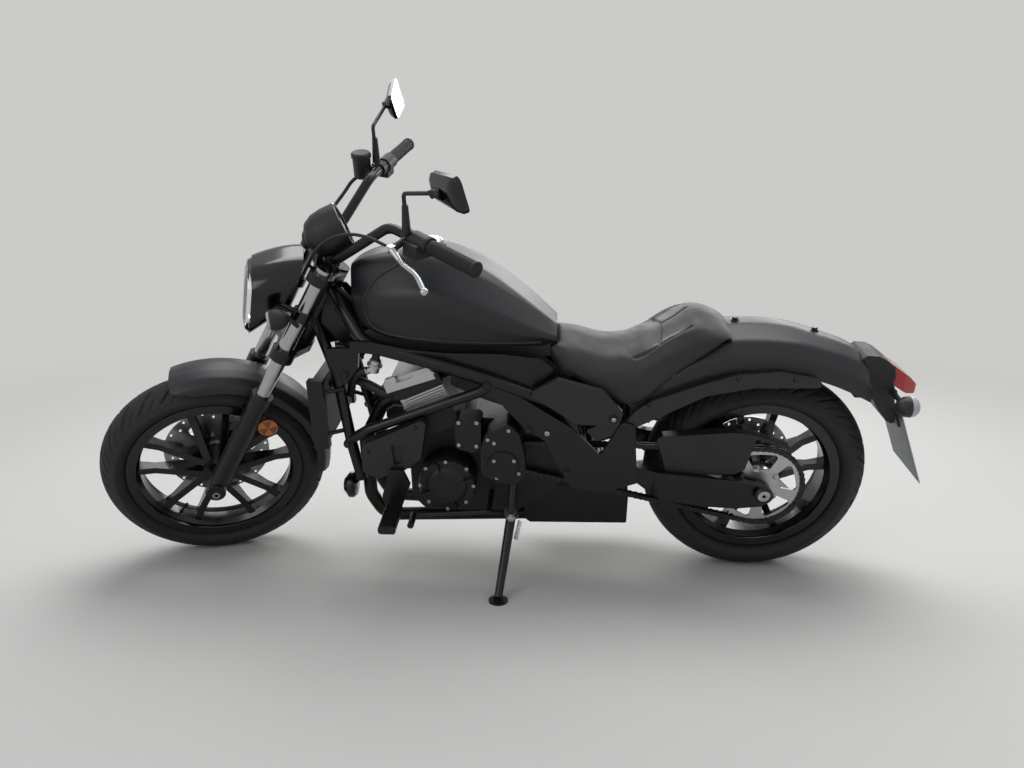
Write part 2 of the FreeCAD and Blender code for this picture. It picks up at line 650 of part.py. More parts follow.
def mirror_stems():
    """The stems: a sleeve on the perch, a knee, and an arm out to the ball behind each mirror."""
    end, inward = grip_line()
    foot, top, knee = Vec(MIRROR_FOOT), Vec(MIRROR_SLEEVE_TOP), Vec(MIRROR_KNEE)
    stem = tube([foot, knee, Vec(MIRROR_ARM_END)], 5.0, 12.0)
    sleeve = cone(11.0, 7.5, foot - (top - foot) * 0.1, top)
    perch = end + inward * (foot - end).dot(inward)
    base = rod(10.0, perch, foot)
    ball = rod(10.0, Vec(MIRROR_ARM_END) - mirror_back() * 6, Vec(MIRROR_ARM_END) + mirror_back() * 8)
    socket = cone(9.0, 15.0, Vec(MIRROR_ARM_END), Vec(MIRROR_CENTRE) + mirror_back() * 22)
    return pair(joined(stem, sleeve, base, ball, socket))


def mirror_heads():
    """Tapered mirror shells with a raised rim, deeper behind the ball and hollowed for the glass."""
    shell = loft([mirror_section(0, 0, 16.0), mirror_section(10, 1, 16.0), mirror_section(20, 9, 14.0),
                  mirror_section(26, 22, 10.0)], True)
    recess = loft([mirror_section(-1, MIRROR_RIM, 12.0), mirror_section(3, MIRROR_RIM, 12.0)], True)
    return pair(shell.cut(recess))


def mirror_glass():
    """The glass plates, each set in its shell behind the rim."""
    return pair(loft([mirror_section(1, MIRROR_RIM + 0.3, 12.0), mirror_section(3, MIRROR_RIM + 0.3, 12.0)], True))


HEADLIGHT_SECTIONS = (
    # s, f, half height, half width, tilt from the steering axis, corner
    (894.0, 176.0, 96.0, 92.0, 18.0, 70.0),
    (938.0, 140.0, 92.0, 98.0, 10.0, 70.0),
    (985.0, 96.0, 78.0, 88.0, 4.0, 60.0),
)


def headlight_wires(sections):
    wires = []
    for s, f, half_height, half_width, tilt, corner in sections:
        angle = math.radians(tilt)
        up = STEER_AXIS * math.cos(angle) + STEER_FORWARD * math.sin(angle)
        wires.append(cross_section(on_fork(s, f, 0), Y_AXIS, up, half_width, half_height, corner))
    return wires


def headlight_shell():
    """The lamp shell and the two arms that hold it to clamps round the fork tubes."""
    s, f = HEADLIGHT_SECTIONS[1][:2]
    clamp_at = on_fork(s, FORK_OFFSET, -FORK_HALF_SPACING)
    arm = rod(9.0, clamp_at, on_fork(s, f, -FORK_HALF_SPACING + 25))
    clamp = rod(STANCHION_RADIUS + 6, clamp_at - STEER_AXIS * 14, clamp_at + STEER_AXIS * 14)
    return joined(loft(headlight_wires(HEADLIGHT_SECTIONS)), arm, clamp, mirrored(arm), mirrored(clamp))


def headlight_lens():
    s, f, half_height, half_width, tilt, corner = HEADLIGHT_SECTIONS[0]
    gap = 0.3
    sections = ((s - 1, f + gap, half_height - 5, half_width - 5, tilt, corner - 5),
                (s - 4, f + 10, half_height - 12, half_width - 12, tilt, corner - 12),
                (s - 6, f + 16, half_height - 40, half_width - 40, tilt, corner - 38))
    return loft(headlight_wires(sections), True)


METER_FACE = (-338.0, 0.0, 1022.0)
METER_AXIS = (-0.93, 0.0, -0.36)


def meter_pod():
    """The instrument drum: a deep round case that narrows towards the headlight."""
    profile = [(0, 0), (62, 0), (62, 34), (58, 62), (46, 86), (28, 98), (0, 100)]
    return revolved(profile, METER_FACE, METER_AXIS, Y_AXIS)


def fender_point(radius, degrees):
    """A point in side view at an angle round the mudguard's own centre."""
    angle = math.radians(degrees)
    return (FRONT_AXLE.x + FENDER_BACK + radius * math.cos(angle),
            FRONT_AXLE.z + FENDER_UP + radius * math.sin(angle))


def front_fender():
    """A short hugging mudguard: a crowned channel swept round the tyre, its front corners cut away."""
    centre = Vec(FRONT_AXLE.x + FENDER_BACK, 0, FRONT_AXLE.z + FENDER_UP)

    def side(radius, half_width, lip):
        return [(lip, half_width, 0.0), (radius - 22, half_width, 12.0), (radius - 6, half_width - 24, 26.0),
                (radius, half_width * 0.25, 60.0)]

    def channel(radius, half_width, lip):
        right = side(radius, half_width, lip)
        return [(r, -y, corner) for r, y, corner in right] + list(reversed(right))
    lip = FENDER_RADIUS - 44
    outer = channel(FENDER_RADIUS, FENDER_HALF_WIDTH, lip)
    inner = channel(FENDER_RADIUS - FENDER_SKIN, FENDER_HALF_WIDTH - FENDER_SKIN, lip)
    wire = outline(outer + list(reversed(inner)), 0.0)
    start = math.radians(FENDER_FRONT_ANGLE)
    way = Vec(math.cos(start), 0, math.sin(start))
    normal = way.cross(Y_AXIS)
    wire.transformShape(FreeCAD.Matrix(way.x, 0, normal.x, centre.x,
                                       way.y, 1, normal.y, centre.y,
                                       way.z, 0, normal.z, centre.z,
                                       0, 0, 0, 1))
    shell = Part.Face(wire).revolve(centre, Y_AXIS, FENDER_FRONT_ANGLE - FENDER_REAR_ANGLE)
    corner = side_plate([fender_point(FENDER_RADIUS - 12, FENDER_FRONT_ANGLE + 1),
                         fender_point(lip - 20, FENDER_FRONT_ANGLE + 4),
                         fender_point(lip - 1, FENDER_FRONT_ANGLE - 12)], -90, 90, 0.0)
    return shell.cut(corner)


def front_axle():
    half = FRONT_AXLE_LENGTH / 2
    outer = rod(AXLE_RADIUS, FRONT_AXLE - Vec(0, half, 0), FRONT_AXLE + Vec(0, half, 0))
    head = rod(15.0, FRONT_AXLE + Vec(0, FORK_HALF_SPACING + 30, 0), FRONT_AXLE + Vec(0, half, 0))
    bore = rod(FRONT_AXLE_BORE, FRONT_AXLE - Vec(0, 200, 0), FRONT_AXLE + Vec(0, 200, 0))
    return joined(outer, head).cut(bore)


def caliper(axle, disc_radius, disc_y, angle):
    """A two-piston caliper that straddles its disc, drawn above the axle and then turned forward."""
    body = block(-36, 36, disc_y - 18, disc_y + 24, disc_radius - 40, disc_radius + 14)
    slot = block(-60, 60, disc_y - DISC_THICKNESS / 2 - 1.5, disc_y + DISC_THICKNESS / 2 + 1.5,
                 disc_radius - 60, disc_radius + 3)
    bridge_gap = block(-12, 12, disc_y - DISC_THICKNESS / 2 - 1.5, disc_y + DISC_THICKNESS / 2 + 1.5,
                       disc_radius, disc_radius + 20)
    pistons = [rod(14.0, (x, disc_y + 22, disc_radius - 20), (x, disc_y + 28, disc_radius - 20)) for x in (-17, 17)]
    body = joined(body.cut(slot).cut(bridge_gap), *pistons)
    body.rotate(Vec(0, 0, 0), Y_AXIS, angle)
    body.translate(Vec(axle.x, 0, axle.z))
    return body


def front_caliper():
    body = caliper(FRONT_AXLE, FRONT_DISC_RADIUS, FRONT_DISC_Y, 60.0)
    lug = block(-30, 30, FRONT_DISC_Y + 10, FRONT_DISC_Y + 30, FRONT_DISC_RADIUS - 30, FRONT_DISC_RADIUS - 8)
    lug.translate(Vec(-44, 0, 0))
    lug.rotate(Vec(0, 0, 0), Y_AXIS, 60.0)
    lug.translate(Vec(FRONT_AXLE.x, 0, FRONT_AXLE.z))
    return joined(body, lug)


def rear_caliper():
    body = caliper(REAR_AXLE, REAR_DISC_RADIUS, REAR_DISC_Y, -52.0)
    lug = rod(12.0, Vec(REAR_AXLE_X - 78, REAR_DISC_Y + 16, REAR_AXLE.z + 62),
              Vec(REAR_AXLE_X - 78, 122, REAR_AXLE.z + 30))
    return joined(body, lug)


INDICATOR_PROFILE = [(0, 0), (20, 0), (26, 8), (28, 20), (26, 34), (18, 47), (9, 54), (0, 56)]
FRONT_INDICATOR = (-532.0, -152.0, 857.0)
REAR_INDICATOR = (1152.0, -130.0, 574.0)


def front_indicators():
    """Round lamps beside the headlight, each on a stalk from its fork tube."""
    lens = Vec(FRONT_INDICATOR) - Vec(28, 0, 0)
    bullet = revolved(INDICATOR_PROFILE, lens, X_AXIS, Y_AXIS)
    root = on_fork(LOWER_YOKE_S + 100, FORK_OFFSET, -FORK_HALF_SPACING - STANCHION_RADIUS + 4)
    stalk = tube([root, lens + Vec(38, 30, 0), lens + Vec(30, 8, 0)], 7.0, 20.0)
    return pair(joined(stalk, bullet))


# Cables, each a route of short straight runs with a tangent arc at every bend
CABLE_RADIUS = 4.0
BRAKE_HOSE_RADIUS = 5.0
COOLANT_HOSE_RADIUS = 13.0
CABLE_BEND = 400.0
CLUTCH_CABLE = [(-262, -258, 1074), (-293, -235, 1087), (-330, -200, 1086), (-373, -165, 1068),
                (-410, -130, 1030), (-434, -106, 988), (-440, -82, 958), (-414, -60, 934)]
BRAKE_HOSE = [(-256, 256, 1058), (-283, 258, 1040), (-308, 238, 1017), (-335, 213, 998), (-364, 180, 982),
              (-402, 140, 972), (-438, 106, 968), (-440, 80, 952), (-414, 58, 934)]
COOLANT_HOSE = [(-402, -50, 590), (-345, -50, 606), (-292, -78, 600), (-240, -100, 580), (-206, -100, 590)]


def control_cables():
    """The clutch cable and the brake hose, from the controls to their guides on the top fork clamp."""
    return Part.makeCompound([tube(CLUTCH_CABLE, CABLE_RADIUS, CABLE_BEND),
                              tube(BRAKE_HOSE, BRAKE_HOSE_RADIUS, CABLE_BEND)])


def coolant_hose():
    return tube(COOLANT_HOSE, COOLANT_HOSE_RADIUS, CABLE_BEND)


# Frame
PIVOT_PLATE = [(33, 637), (32, 611), (74, 582), (139, 506), (193, 471), (234, 379), (268, 326), (345, 311),
               (444, 345), (430, 520), (396, 530), (341, 428), (267, 508), (179, 566), (127, 600)]
SPAR_PLATE = [(-327, 742), (-261, 740), (-174, 722), (-79, 712), (76, 710), (179, 698), (218, 668), (160, 606),
              (35, 634), (-80, 672), (-237, 704), (-310, 712)]
HEAD_GUSSET = [(-394, 712), (-300, 716), (-309, 655), (-345, 608), (-374, 612)]


def frame_tubes():
    """Twin rails from the steering head to the swingarm pivot, down tubes, diagonals and pressed plates."""
    head_low = on_fork(LOWER_YOKE_S + YOKE_THICKNESS / 2 + 3, 0, 0)
    head_high = on_fork(UPPER_YOKE_S - YOKE_THICKNESS / 2 - 3, 0, 0)
    head = rod(HEAD_TUBE_RADIUS, head_low, head_high)
    rail = tube([on_fork(1000, -8, -14), (-285, -96, 722), (-80, -132, 681), (30, -134, 645), (250, -130, 560),
                 (PIVOT_X - 12, -131, 340)], MAIN_TUBE_RADIUS, 90.0)
    down = tube([on_fork(900, -6, -14), (-372, -92, 640), (-340, -124, 440), (-322, -124, 330)],
                DOWN_TUBE_RADIUS, 60.0)
    cross = tube([(-338, -124, 455), (-286, -150, 496), (20, -150, 612), (70, -134, 640)], 14.0, 40.0)
    mount = rod(12.0, (-326, -120, 352), (-186, -78, 352))
    spar = side_plate(SPAR_PLATE, -127.0, -115.0, 10.0)
    gusset = side_plate(HEAD_GUSSET, -106.0, -92.0, 8.0)
    plate = side_plate(PIVOT_PLATE, -153.0, -140.0, 9.0)
    side = joined(rail, down, cross, mount, spar, gusset, plate)
    tie = rod(14.0, Vec(PIVOT_X - 12, -131, 346), Vec(PIVOT_X - 12, 131, 346))
    high_tie = rod(14.0, Vec(250, -130, 560), Vec(250, 130, 560))
    bore = rod(STEM_RADIUS + AXLE_CLEARANCE, on_fork(LOWER_YOKE_S, 0, 0), on_fork(UPPER_YOKE_S, 0, 0))
    return joined(head, side, mirrored(side), tie, high_tie).cut(bore)


# Engine
def on_cylinders(shape):
    """Moves a piece drawn at the origin (X along the fins, Z up the bores) onto the leaning cylinders."""
    shape.rotate(Vec(0, 0, 0), Y_AXIS, -CYLINDER_TILT)
    shape.translate(Vec(CYLINDER_X, 0, CYLINDER_Z))
    return shape


def engine_case():
    """The crankcase as one plain block, with the output shaft and the small sprocket on it."""
    points = [(-190, 250, 40), (-150, 205, 30), (110, 205, 40), (190, 260, 40), (262, 330, 30), (262, 420, 30),
              (150, 500, 30), (0, 505, 20), (-190, 430, 40)]
    case = side_plate(points, -CASE_HALF_WIDTH, CASE_HALF_WIDTH, 20.0)
    at = Vec(FRONT_SPROCKET_X, CHAIN_Y, FRONT_SPROCKET_Z)
    half_gap = Vec(0, CHAIN_INNER_GAP / 2, 0)
    wheel = rod(sprocket_radius(FRONT_SPROCKET_TEETH), at - half_gap, at + half_gap)
    shaft = rod(12.0, at - Vec(0, 8, 0), Vec(at.x, -CASE_HALF_WIDTH + 4, at.z))
    return joined(case, wheel, shaft)


def engine_cylinders():
    """The twin-cylinder block and its head, plain behind the side fins."""
    core = on_cylinders(block(-4, 120, -CYLINDER_HALF_WIDTH + 6, CYLINDER_HALF_WIDTH - 6, -80, 52))
    head = on_cylinders(block(-12, 128, -CYLINDER_HALF_WIDTH + 2, CYLINDER_HALF_WIDTH - 2, 50, 82))
    ports = [rod(24.0, (-196, y, 548), (-226, y, 552)) for y in (-56.0, 56.0)]
    return joined(core, head, *ports)


def cylinder_fins():
    """The machined fins that stand out on each side of the block, as short strips that share a web."""
    fins = [on_cylinders(block(-2, 124, -CYLINDER_HALF_WIDTH + 5, -CYLINDER_HALF_WIDTH + 8,
                               FIN_FIRST, FIN_FIRST + (FIN_COUNT - 1) * FIN_PITCH + FIN_THICKNESS))]
    for index in range(FIN_COUNT):
        z = FIN_FIRST + index * FIN_PITCH
        trim = 4.0 * abs(index - FIN_COUNT // 2)
        fins.append(on_cylinders(block(-4 + trim, 126, -CYLINDER_HALF_WIDTH - 2, -CYLINDER_HALF_WIDTH + 8,
                                       z, z + FIN_THICKNESS)))
    return pair(joined(*fins))


HEAD_COVER_POINTS = [(-14, 80), (-11, 118), (20, 114), (18, 97), (64, 95), (71, 109), (112, 105), (124, 80)]


def head_cover():
    """The cam cover: a stepped end plate on each side and a plain lid between them."""
    plate = side_plate(HEAD_COVER_POINTS, -CYLINDER_HALF_WIDTH - 4, -CYLINDER_HALF_WIDTH + 14, 3.0)
    lid = side_plate([(-10, 80), (-8, 108), (66, 104), (108, 98), (120, 80)], -CYLINDER_HALF_WIDTH + 10,
                     CYLINDER_HALF_WIDTH - 10, 8.0)
    return on_cylinders(joined(plate, mirrored(plate), lid))


COVERS = (
    # x, z, radius, side, outer face from the centre plane, radius of the raised dome
    (-77.0, 334.0, 79.0, -1, 172.0, 52.0),
    (-60.0, 351.0, 86.0, 1, 165.0, 60.0),
    (50.0, 300.0, 40.0, 1, 150.0, 24.0),
)
COVER_RIBS = 4
UPPER_COVER = [(-49, 531), (22, 531), (20, 446), (0, 430), (-49, 444)]


def engine_covers():
    """The crankcase covers: generator on the left with its ribs, clutch and water pump on the right."""
    covers = []
    for x, z, radius, side, face, dome in COVERS:
        height = face - CASE_HALF_WIDTH
        wall = revolved([(0, 0), (radius, 0), (radius, height - 17), (radius - 4, height - 10),
                         (dome + 6, height - 10), (dome, height - 3), (dome - 7, height), (0, height)],
                        Vec(x, side * CASE_HALF_WIDTH, z), Vec(0, side, 0), X_AXIS)
        covers.append(wall)
    x, z, radius, side, face, dome = COVERS[0]
    ribs = []
    for index in range(COVER_RIBS):
        rib = block(dome - 26, radius - 3, -face - 2, -face + 20, -2.5, 2.5)
        rib.rotate(Vec(0, 0, 0), Y_AXIS, -(index * 360.0 / COVER_RIBS) - 20.0)
        rib.translate(Vec(x, 0, z))
        ribs.append(rib)
    upper = side_plate(UPPER_COVER, -152.0, -CASE_HALF_WIDTH, 14.0)
    return Part.makeCompound([joined(covers[0], upper, *ribs), joined(*covers[1:])])


SPROCKET_COVER = [(20, 372, 20), (58, 352, 16), (109, 338, 14), (139, 364, 14), (139, 425, 24), (124, 496, 14),
                  (96, 526, 12), (34, 494, 14), (20, 452, 20)]


def sprocket_cover():
    """The hollow cover over the output sprocket, open to the rear for the chain, with a round boss."""
    shell = side_plate(SPROCKET_COVER, -166.0, -CASE_HALF_WIDTH, 10.0)
    boss = revolved([(0, 0), (44, 0), (41, 8), (0, 8)], Vec(80, -164, 403), Vec(0, -1, 0), X_AXIS)
    hollow = side_plate([(36, 354, 20), (60, 330), (240, 270), (240, 500), (140, 462), (36, 452, 30)],
                        CHAIN_Y - 13, CHAIN_Y + 13, 10.0)
    return joined(shell, boss).cut(hollow)


AIR_BOX = [(-64, 606), (-58, 690), (60, 700), (190, 690), (250, 640), (345, 570), (345, 500), (250, 476),
           (150, 520), (20, 566)]


def air_box():
    """The box between the rails under the tank and seat, fed through two throttle bodies at the head."""
    body = side_plate(AIR_BOX, -92.0, 92.0, 14.0)
    throttles = [rod(23.0, (-96, y, 629), (-50, y, 648)) for y in (-45.0, 45.0)]
    return joined(body, *throttles)


def radiator():
    core = block(-430, -400, -138, 138, 450, 632)
    tanks = [block(-436, -394, side * 146 - 12, side * 146 + 12, 440, 640) for side in (-1, 1)]
    arms = [rod(6.0, (-398, side * 140, z), (-350, side * 112, z)) for side in (-1, 1) for z in (478, 600)]
    return joined(core, *tanks, *arms)


COWL_POINTS = [(-297, 466), (-118, 549), (-140, 427), (-186, 392), (-261, 364), (-302, 386)]
COWL_SLOT = [(-218, 470), (-183, 468), (-192, 416), (-214, 404)]


def lower_cowl():
    """The pair of covers in front of the engine, one each side, with a sunk slot."""
    cowl = side_plate(COWL_POINTS, -184.0, -146.0, 12.0)
    return pair(cowl.cut(side_plate(COWL_SLOT, -190.0, -174.0, 6.0)))


def header_pipes():
    """Two exhaust pipes that drop in front of the engine and run back under it to the silencer."""
    pipes = []
    for y in (-56.0, 56.0):
        pipes.append(tube([(-190, y, 566), (-262, y, 530), (-318, y, 420), (-318, y, 240), (-280, y, 168),
                           (140, y * 0.6, 168)], 19.0, 60.0))
    return Part.makeCompound(pipes)


def silencer():
    """The box silencer under the engine, with its short outlet on the right."""
    box = side_plate([(131, 166), (148, 152), (430, 155, 5), (432, 262, 14), (420, 277), (150, 277), (131, 262)],
                     -60.0, 176.0, 12.0)
    outlet = rod(36.0, (430, 138, 205), (560, 152, 215)).cut(rod(31.0, (470, 142, 208), (600, 156, 218)))
    return joined(box, outlet)


# Bodywork
def body_loft(sections):
    """A smooth body through upright sections: (x, ((half width, z, corner), ...) from the bottom up)."""
    wires = []
    for x, half in sections:
        points = [(y, z, corner) for y, z, corner in half]
        points += [(-y, z, corner) for y, z, corner in reversed(half)]
        wire = outline(points, 0.0)
        wire.transformShape(FreeCAD.Matrix(0, 0, 1, x, 1, 0, 0, 0, 0, 1, 0, 0, 0, 0, 0, 1))
        wires.append(wire)
    return loft(wires)


TANK_SECTIONS = (
    (-318.0, ((50.0, 788.0, 14.0), (64.0, 848.0, 20.0), (40.0, 924.0, 24.0))),
    (-280.0, ((84.0, 762.0, 14.0), (104.0, 852.0, 40.0), (58.0, 944.0, 34.0))),
    (-190.0, ((112.0, 740.0, 16.0), (146.0, 864.0, 60.0), (78.0, 964.0, 50.0))),
    (-80.0, ((124.0, 730.0, 18.0), (165.0, 862.0, 66.0), (84.0, 964.0, 60.0))),
    (40.0, ((120.0, 726.0, 18.0), (158.0, 820.0, 60.0), (76.0, 912.0, 54.0))),
    (140.0, ((104.0, 722.0, 16.0), (132.0, 776.0, 30.0), (64.0, 838.0, 40.0))),
    (222.0, ((70.0, 714.0, 12.0), (92.0, 738.0, 14.0), (42.0, 766.0, 16.0))),
)


TANK_TRIM = [(-340, 730), (-296, 730), (-300, 790), (-293, 856), (-262, 910), (-214, 946), (-150, 962),
             (-150, 1000), (-340, 1000)]
TRIM_RAISE = 2.5
CAP_CENTRE = (-118.0, 0.0, 968.0)
CAP_RADIUS = 40.0
CAP_HINGE_BACK = 46.0


def fuel_tank():
    """The tank with a raised trim round its front and a ring for the filler cap."""
    tank = body_loft(TANK_SECTIONS)
    wider = []
    for x, half in TANK_SECTIONS:
        wider.append((x, tuple((y + TRIM_RAISE, z + TRIM_RAISE * (1 if z > half[1][1] else 0), corner)
                               for y, z, corner in half)))
    trim = body_loft(wider).common(side_plate(TANK_TRIM, -200.0, 200.0, 30.0))
    centre = Vec(CAP_CENTRE)
    ring = revolved([(0, -30), (CAP_RADIUS + 8, -30), (CAP_RADIUS + 8, 2), (CAP_RADIUS + 4, 5), (0, 5)],
                    centre, Z_AXIS, X_AXIS)
    hinge = Vec(CAP_CENTRE[0] - CAP_HINGE_BACK, 0, CAP_CENTRE[2] + 9)
    ears = [rod(4.0, hinge + Vec(0, side * 10, 0), hinge + Vec(0, side * 16, 0)) for side in (-1, 1)]
    feet = [block(hinge.x - 4, hinge.x + 4, y - 3, y + 3, CAP_CENTRE[2] - 6, hinge.z) for y in (-13.0, 13.0)]
    return joined(tank, trim, ring, *ears, *feet)


def fuel_cap():
    """The round hinged filler cap, a little above its ring, with its barrel between the ring's ears."""
    centre = Vec(CAP_CENTRE)
    lid = revolved([(0, 5.3), (CAP_RADIUS, 5.3), (CAP_RADIUS, 12), (CAP_RADIUS - 5, 16), (0, 16)],
                   centre, Z_AXIS, X_AXIS)
    hinge = Vec(CAP_CENTRE[0] - CAP_HINGE_BACK, 0, CAP_CENTRE[2] + 9)
    barrel = rod(4.0, hinge - Vec(0, 9.7, 0), hinge + Vec(0, 9.7, 0))
    tongue = block(hinge.x, centre.x - CAP_RADIUS + 6, -9.7, 9.7, hinge.z - 3.5, hinge.z + 4)
    return joined(lid, barrel, tongue)


SEAT_SECTIONS = (
    # x, then half width, height and corner of the bottom, side, shoulder and top
    (200.0, ((88.0, 692.0, 10.0), (98.0, 714.0, 12.0), (76.0, 741.0, 14.0), (26.0, 755.0, 40.0))),
    (262.0, ((126.0, 640.0, 12.0), (124.0, 690.0, 26.0), (94.0, 717.0, 26.0), (28.0, 741.0, 80.0))),
    (350.0, ((138.0, 588.0, 14.0), (138.0, 656.0, 34.0), (102.0, 693.0, 34.0), (28.0, 719.0, 90.0))),
    (440.0, ((139.0, 572.0, 14.0), (142.0, 668.0, 40.0), (106.0, 709.0, 38.0), (28.0, 737.0, 90.0))),
    (505.0, ((137.0, 630.0, 14.0), (144.0, 704.0, 36.0), (110.0, 754.0, 36.0), (28.0, 785.0, 90.0))),
    (580.0, ((132.0, 690.0, 10.0), (138.0, 744.0, 26.0), (106.0, 780.0, 28.0), (28.0, 806.0, 90.0))),
    (640.0, ((124.0, 735.0, 5.0), (126.0, 753.0, 12.0), (98.0, 771.0, 18.0), (26.0, 788.0, 60.0))),
    (680.0, ((112.0, 742.0, 2.0), (110.0, 747.0, 3.0), (84.0, 752.0, 5.0), (24.0, 757.0, 12.0))),
)


def seat():
    return body_loft(SEAT_SECTIONS)


SIDE_COVER_POINTS = [(147, 613), (224, 656), (345, 623), (397, 561), (384, 520), (276, 527)]


def side_covers():
    return pair(side_plate(SIDE_COVER_POINTS, -162.0, -146.0, 12.0))


FENDER_SECTIONS = (
    # x, then half width, height and corner of the lip, side, shoulder and top
    (500.0, ((127.0, 604.0, 4.0), (127.0, 622.0, 14.0), (94.0, 636.0, 20.0), (26.0, 646.0, 50.0))),
    (655.0, ((127.0, 655.0, 4.0), (127.0, 700.0, 30.0), (94.0, 738.0, 36.0), (26.0, 757.0, 80.0))),
    (745.0, ((127.0, 662.0, 4.0), (126.0, 702.0, 30.0), (94.0, 742.0, 36.0), (26.0, 764.0, 80.0))),
    (850.0, ((124.0, 650.0, 4.0), (122.0, 690.0, 28.0), (90.0, 731.0, 34.0), (26.0, 752.0, 80.0))),
    (950.0, ((112.0, 618.0, 4.0), (110.0, 661.0, 26.0), (80.0, 700.0, 30.0), (24.0, 721.0, 70.0))),
    (1012.0, ((103.0, 588.0, 4.0), (101.0, 634.0, 22.0), (74.0, 674.0, 26.0), (22.0, 694.0, 60.0))),
    (1050.0, ((94.0, 566.0, 4.0), (90.0, 608.0, 18.0), (66.0, 640.0, 22.0), (20.0, 656.0, 50.0))),
)


def rear_fender():
    """A deep valanced mudguard, hollow over the tyre."""
    skin = 5.0
    inner = []
    for x, half in FENDER_SECTIONS:
        lip, side, shoulder, top = half
        inner.append((x, ((lip[0] - skin, lip[1] - 60, 4.0), (side[0] - skin, side[1], side[2]),
                          (shoulder[0] - skin, shoulder[1] - skin, shoulder[2]),
                          (top[0] - skin * 0.5, top[1] - skin, top[2]))))
    inner[0] = (inner[0][0] - 30,) + inner[0][1:]
    inner[-1] = (inner[-1][0] + 20,) + inner[-1][1:]
    return body_loft(FENDER_SECTIONS).cut(body_loft(inner))


FENDER_RAIL = [(405, 526), (429, 559), (467, 588), (607, 642), (686, 665), (794, 672), (889, 653), (900, 642),
               (892, 631), (730, 629), (610, 605), (457, 524), (400, 496), (330, 470), (300, 500), (330, 515)]


def fender_rails():
    """The flat struts that carry the rear mudguard and the seat."""
    return pair(side_plate(FENDER_RAIL, -146.0, -128.0, 6.0))


TAIL_POINTS = [(1020, 600), (1020, 672), (1036, 685), (1067, 683), (1088, 672), (1112, 654), (1120, 620), (1100, 596)]
LENS_POINTS = [(1100, 652), (1112, 655), (1133, 640), (1164, 618), (1195, 587), (1188, 566), (1160, 572),
               (1110, 604)]
LENS_PLAN = [(1080, -45, 0), (1150, -45, 12), (1192, -24, 30), (1198, 0, 60), (1192, 24, 30), (1150, 45, 12),
             (1080, 45, 0)]


def tail_housing():
    """The lamp housing, the narrow liner under it and the arm for the plate."""
    top = side_plate(TAIL_POINTS, -54.0, 54.0, 6.0)
    liner = side_plate([(1020, 560), (1020, 640), (1100, 640), (1124, 594), (1146, 478), (1118, 492), (1094, 522),
                        (1070, 560)], -46.0, 46.0, 8.0)
    stalk = rod(10.0, Vec(REAR_INDICATOR) + Vec(-30, 90, 4), Vec(REAR_INDICATOR) + Vec(-30, 78, 4))
    return joined(top, liner, plate_carrier(), stalk, mirrored(stalk))


def tail_lens():
    """A wedge of a lens, rounded in plan towards the rear."""
    wedge = side_plate(LENS_POINTS, -50.0, 50.0, 6.0)
    plan = Part.Face(outline(LENS_PLAN, 0.0))
    plan.translate(Vec(0, 0, 500))
    return wedge.common(plan.extrude(Vec(0, 0, 240)))


def rear_indicators():
    """Round lamps on stalks either side of the tail."""
    lens = Vec(REAR_INDICATOR)
    bullet = revolved(INDICATOR_PROFILE, lens, Vec(-1, 0, 0), Y_AXIS)
    stalk = rod(7.0, lens + Vec(-30, 84, 4), lens + Vec(-30, 18, 0))
    return pair(joined(stalk, bullet))


PLATE_TOP = (1136.0, 533.0)
PLATE_LOW = (1222.0, 323.0)


def number_plate():
    """A blank square-cornered plate on its backing, leaned back at the bottom."""
    along = Vec(PLATE_LOW[0] - PLATE_TOP[0], 0, PLATE_LOW[1] - PLATE_TOP[1])
    length = along.Length
    sheet = block(0, 1.5, -95, 95, 0, length)
    sheet.rotate(Vec(0, 0, 0), Y_AXIS, -math.degrees(math.atan2(along.x, -along.z)))
    sheet.translate(Vec(PLATE_LOW[0], 0, PLATE_LOW[1]))
    return sheet


def plate_carrier():
    """The small bracket behind the top of the plate."""
    along = Vec(PLATE_LOW[0] - PLATE_TOP[0], 0, PLATE_LOW[1] - PLATE_TOP[1])
    length = along.Length
    sheet = block(-5, 0, -45, 45, length - 64, length - 4)
    sheet.rotate(Vec(0, 0, 0), Y_AXIS, -math.degrees(math.atan2(along.x, -along.z)))
    sheet.translate(Vec(PLATE_LOW[0], 0, PLATE_LOW[1]))
    arm = side_plate([(1112, 560), (1140, 540), (1150, 490), (1138, 486), (1112, 520)], -30.0, 30.0, 5.0)
    return joined(sheet, arm)


# Rear end
SWINGARM_EDGE = (
    # share of the way from the pivot to the axle, height above the line between them
    (-0.05, 16.0), (0.22, 22.0), (0.36, 12.0), (0.62, 18.0), (0.83, 24.0), (1.03, 16.0), (1.08, -6.0), (1.01, -42.0),
    (0.85, -62.0), (0.64, -72.0), (0.40, -73.0), (0.33, -53.0), (0.24, -27.0), (-0.05, -29.0),
)


def swingarm():
    """Two pressed arms drawn between the pivot and the axle, a cross tube and the pivot barrel."""
    edge = []
    for share, height in SWINGARM_EDGE:
        edge.append((PIVOT_X + share * (REAR_AXLE.x - PIVOT_X), PIVOT_Z + share * (REAR_AXLE.z - PIVOT_Z) + height))
    arm = side_plate(edge, -139.0, -114.0, 12.0)
    root = side_plate([(PIVOT_X - 24, PIVOT_Z + 20), (PIVOT_X + 100, PIVOT_Z + 20), (PIVOT_X + 100, PIVOT_Z - 17),
                       (PIVOT_X - 24, PIVOT_Z - 17)], -115.0, -88.0, 8.0)
    slot = rod(AXLE_RADIUS, REAR_AXLE - Vec(0, 200, 0), REAR_AXLE)
    arm = joined(arm, root).cut(slot)
    barrel = rod(24.0, (PIVOT_X, -100, PIVOT_Z), (PIVOT_X, 100, PIVOT_Z))
    cross = rod(20.0, (PIVOT_X + 82, -100, PIVOT_Z + 1), (PIVOT_X + 82, 100, PIVOT_Z + 1))
    return joined(arm, mirrored(arm), barrel, cross)


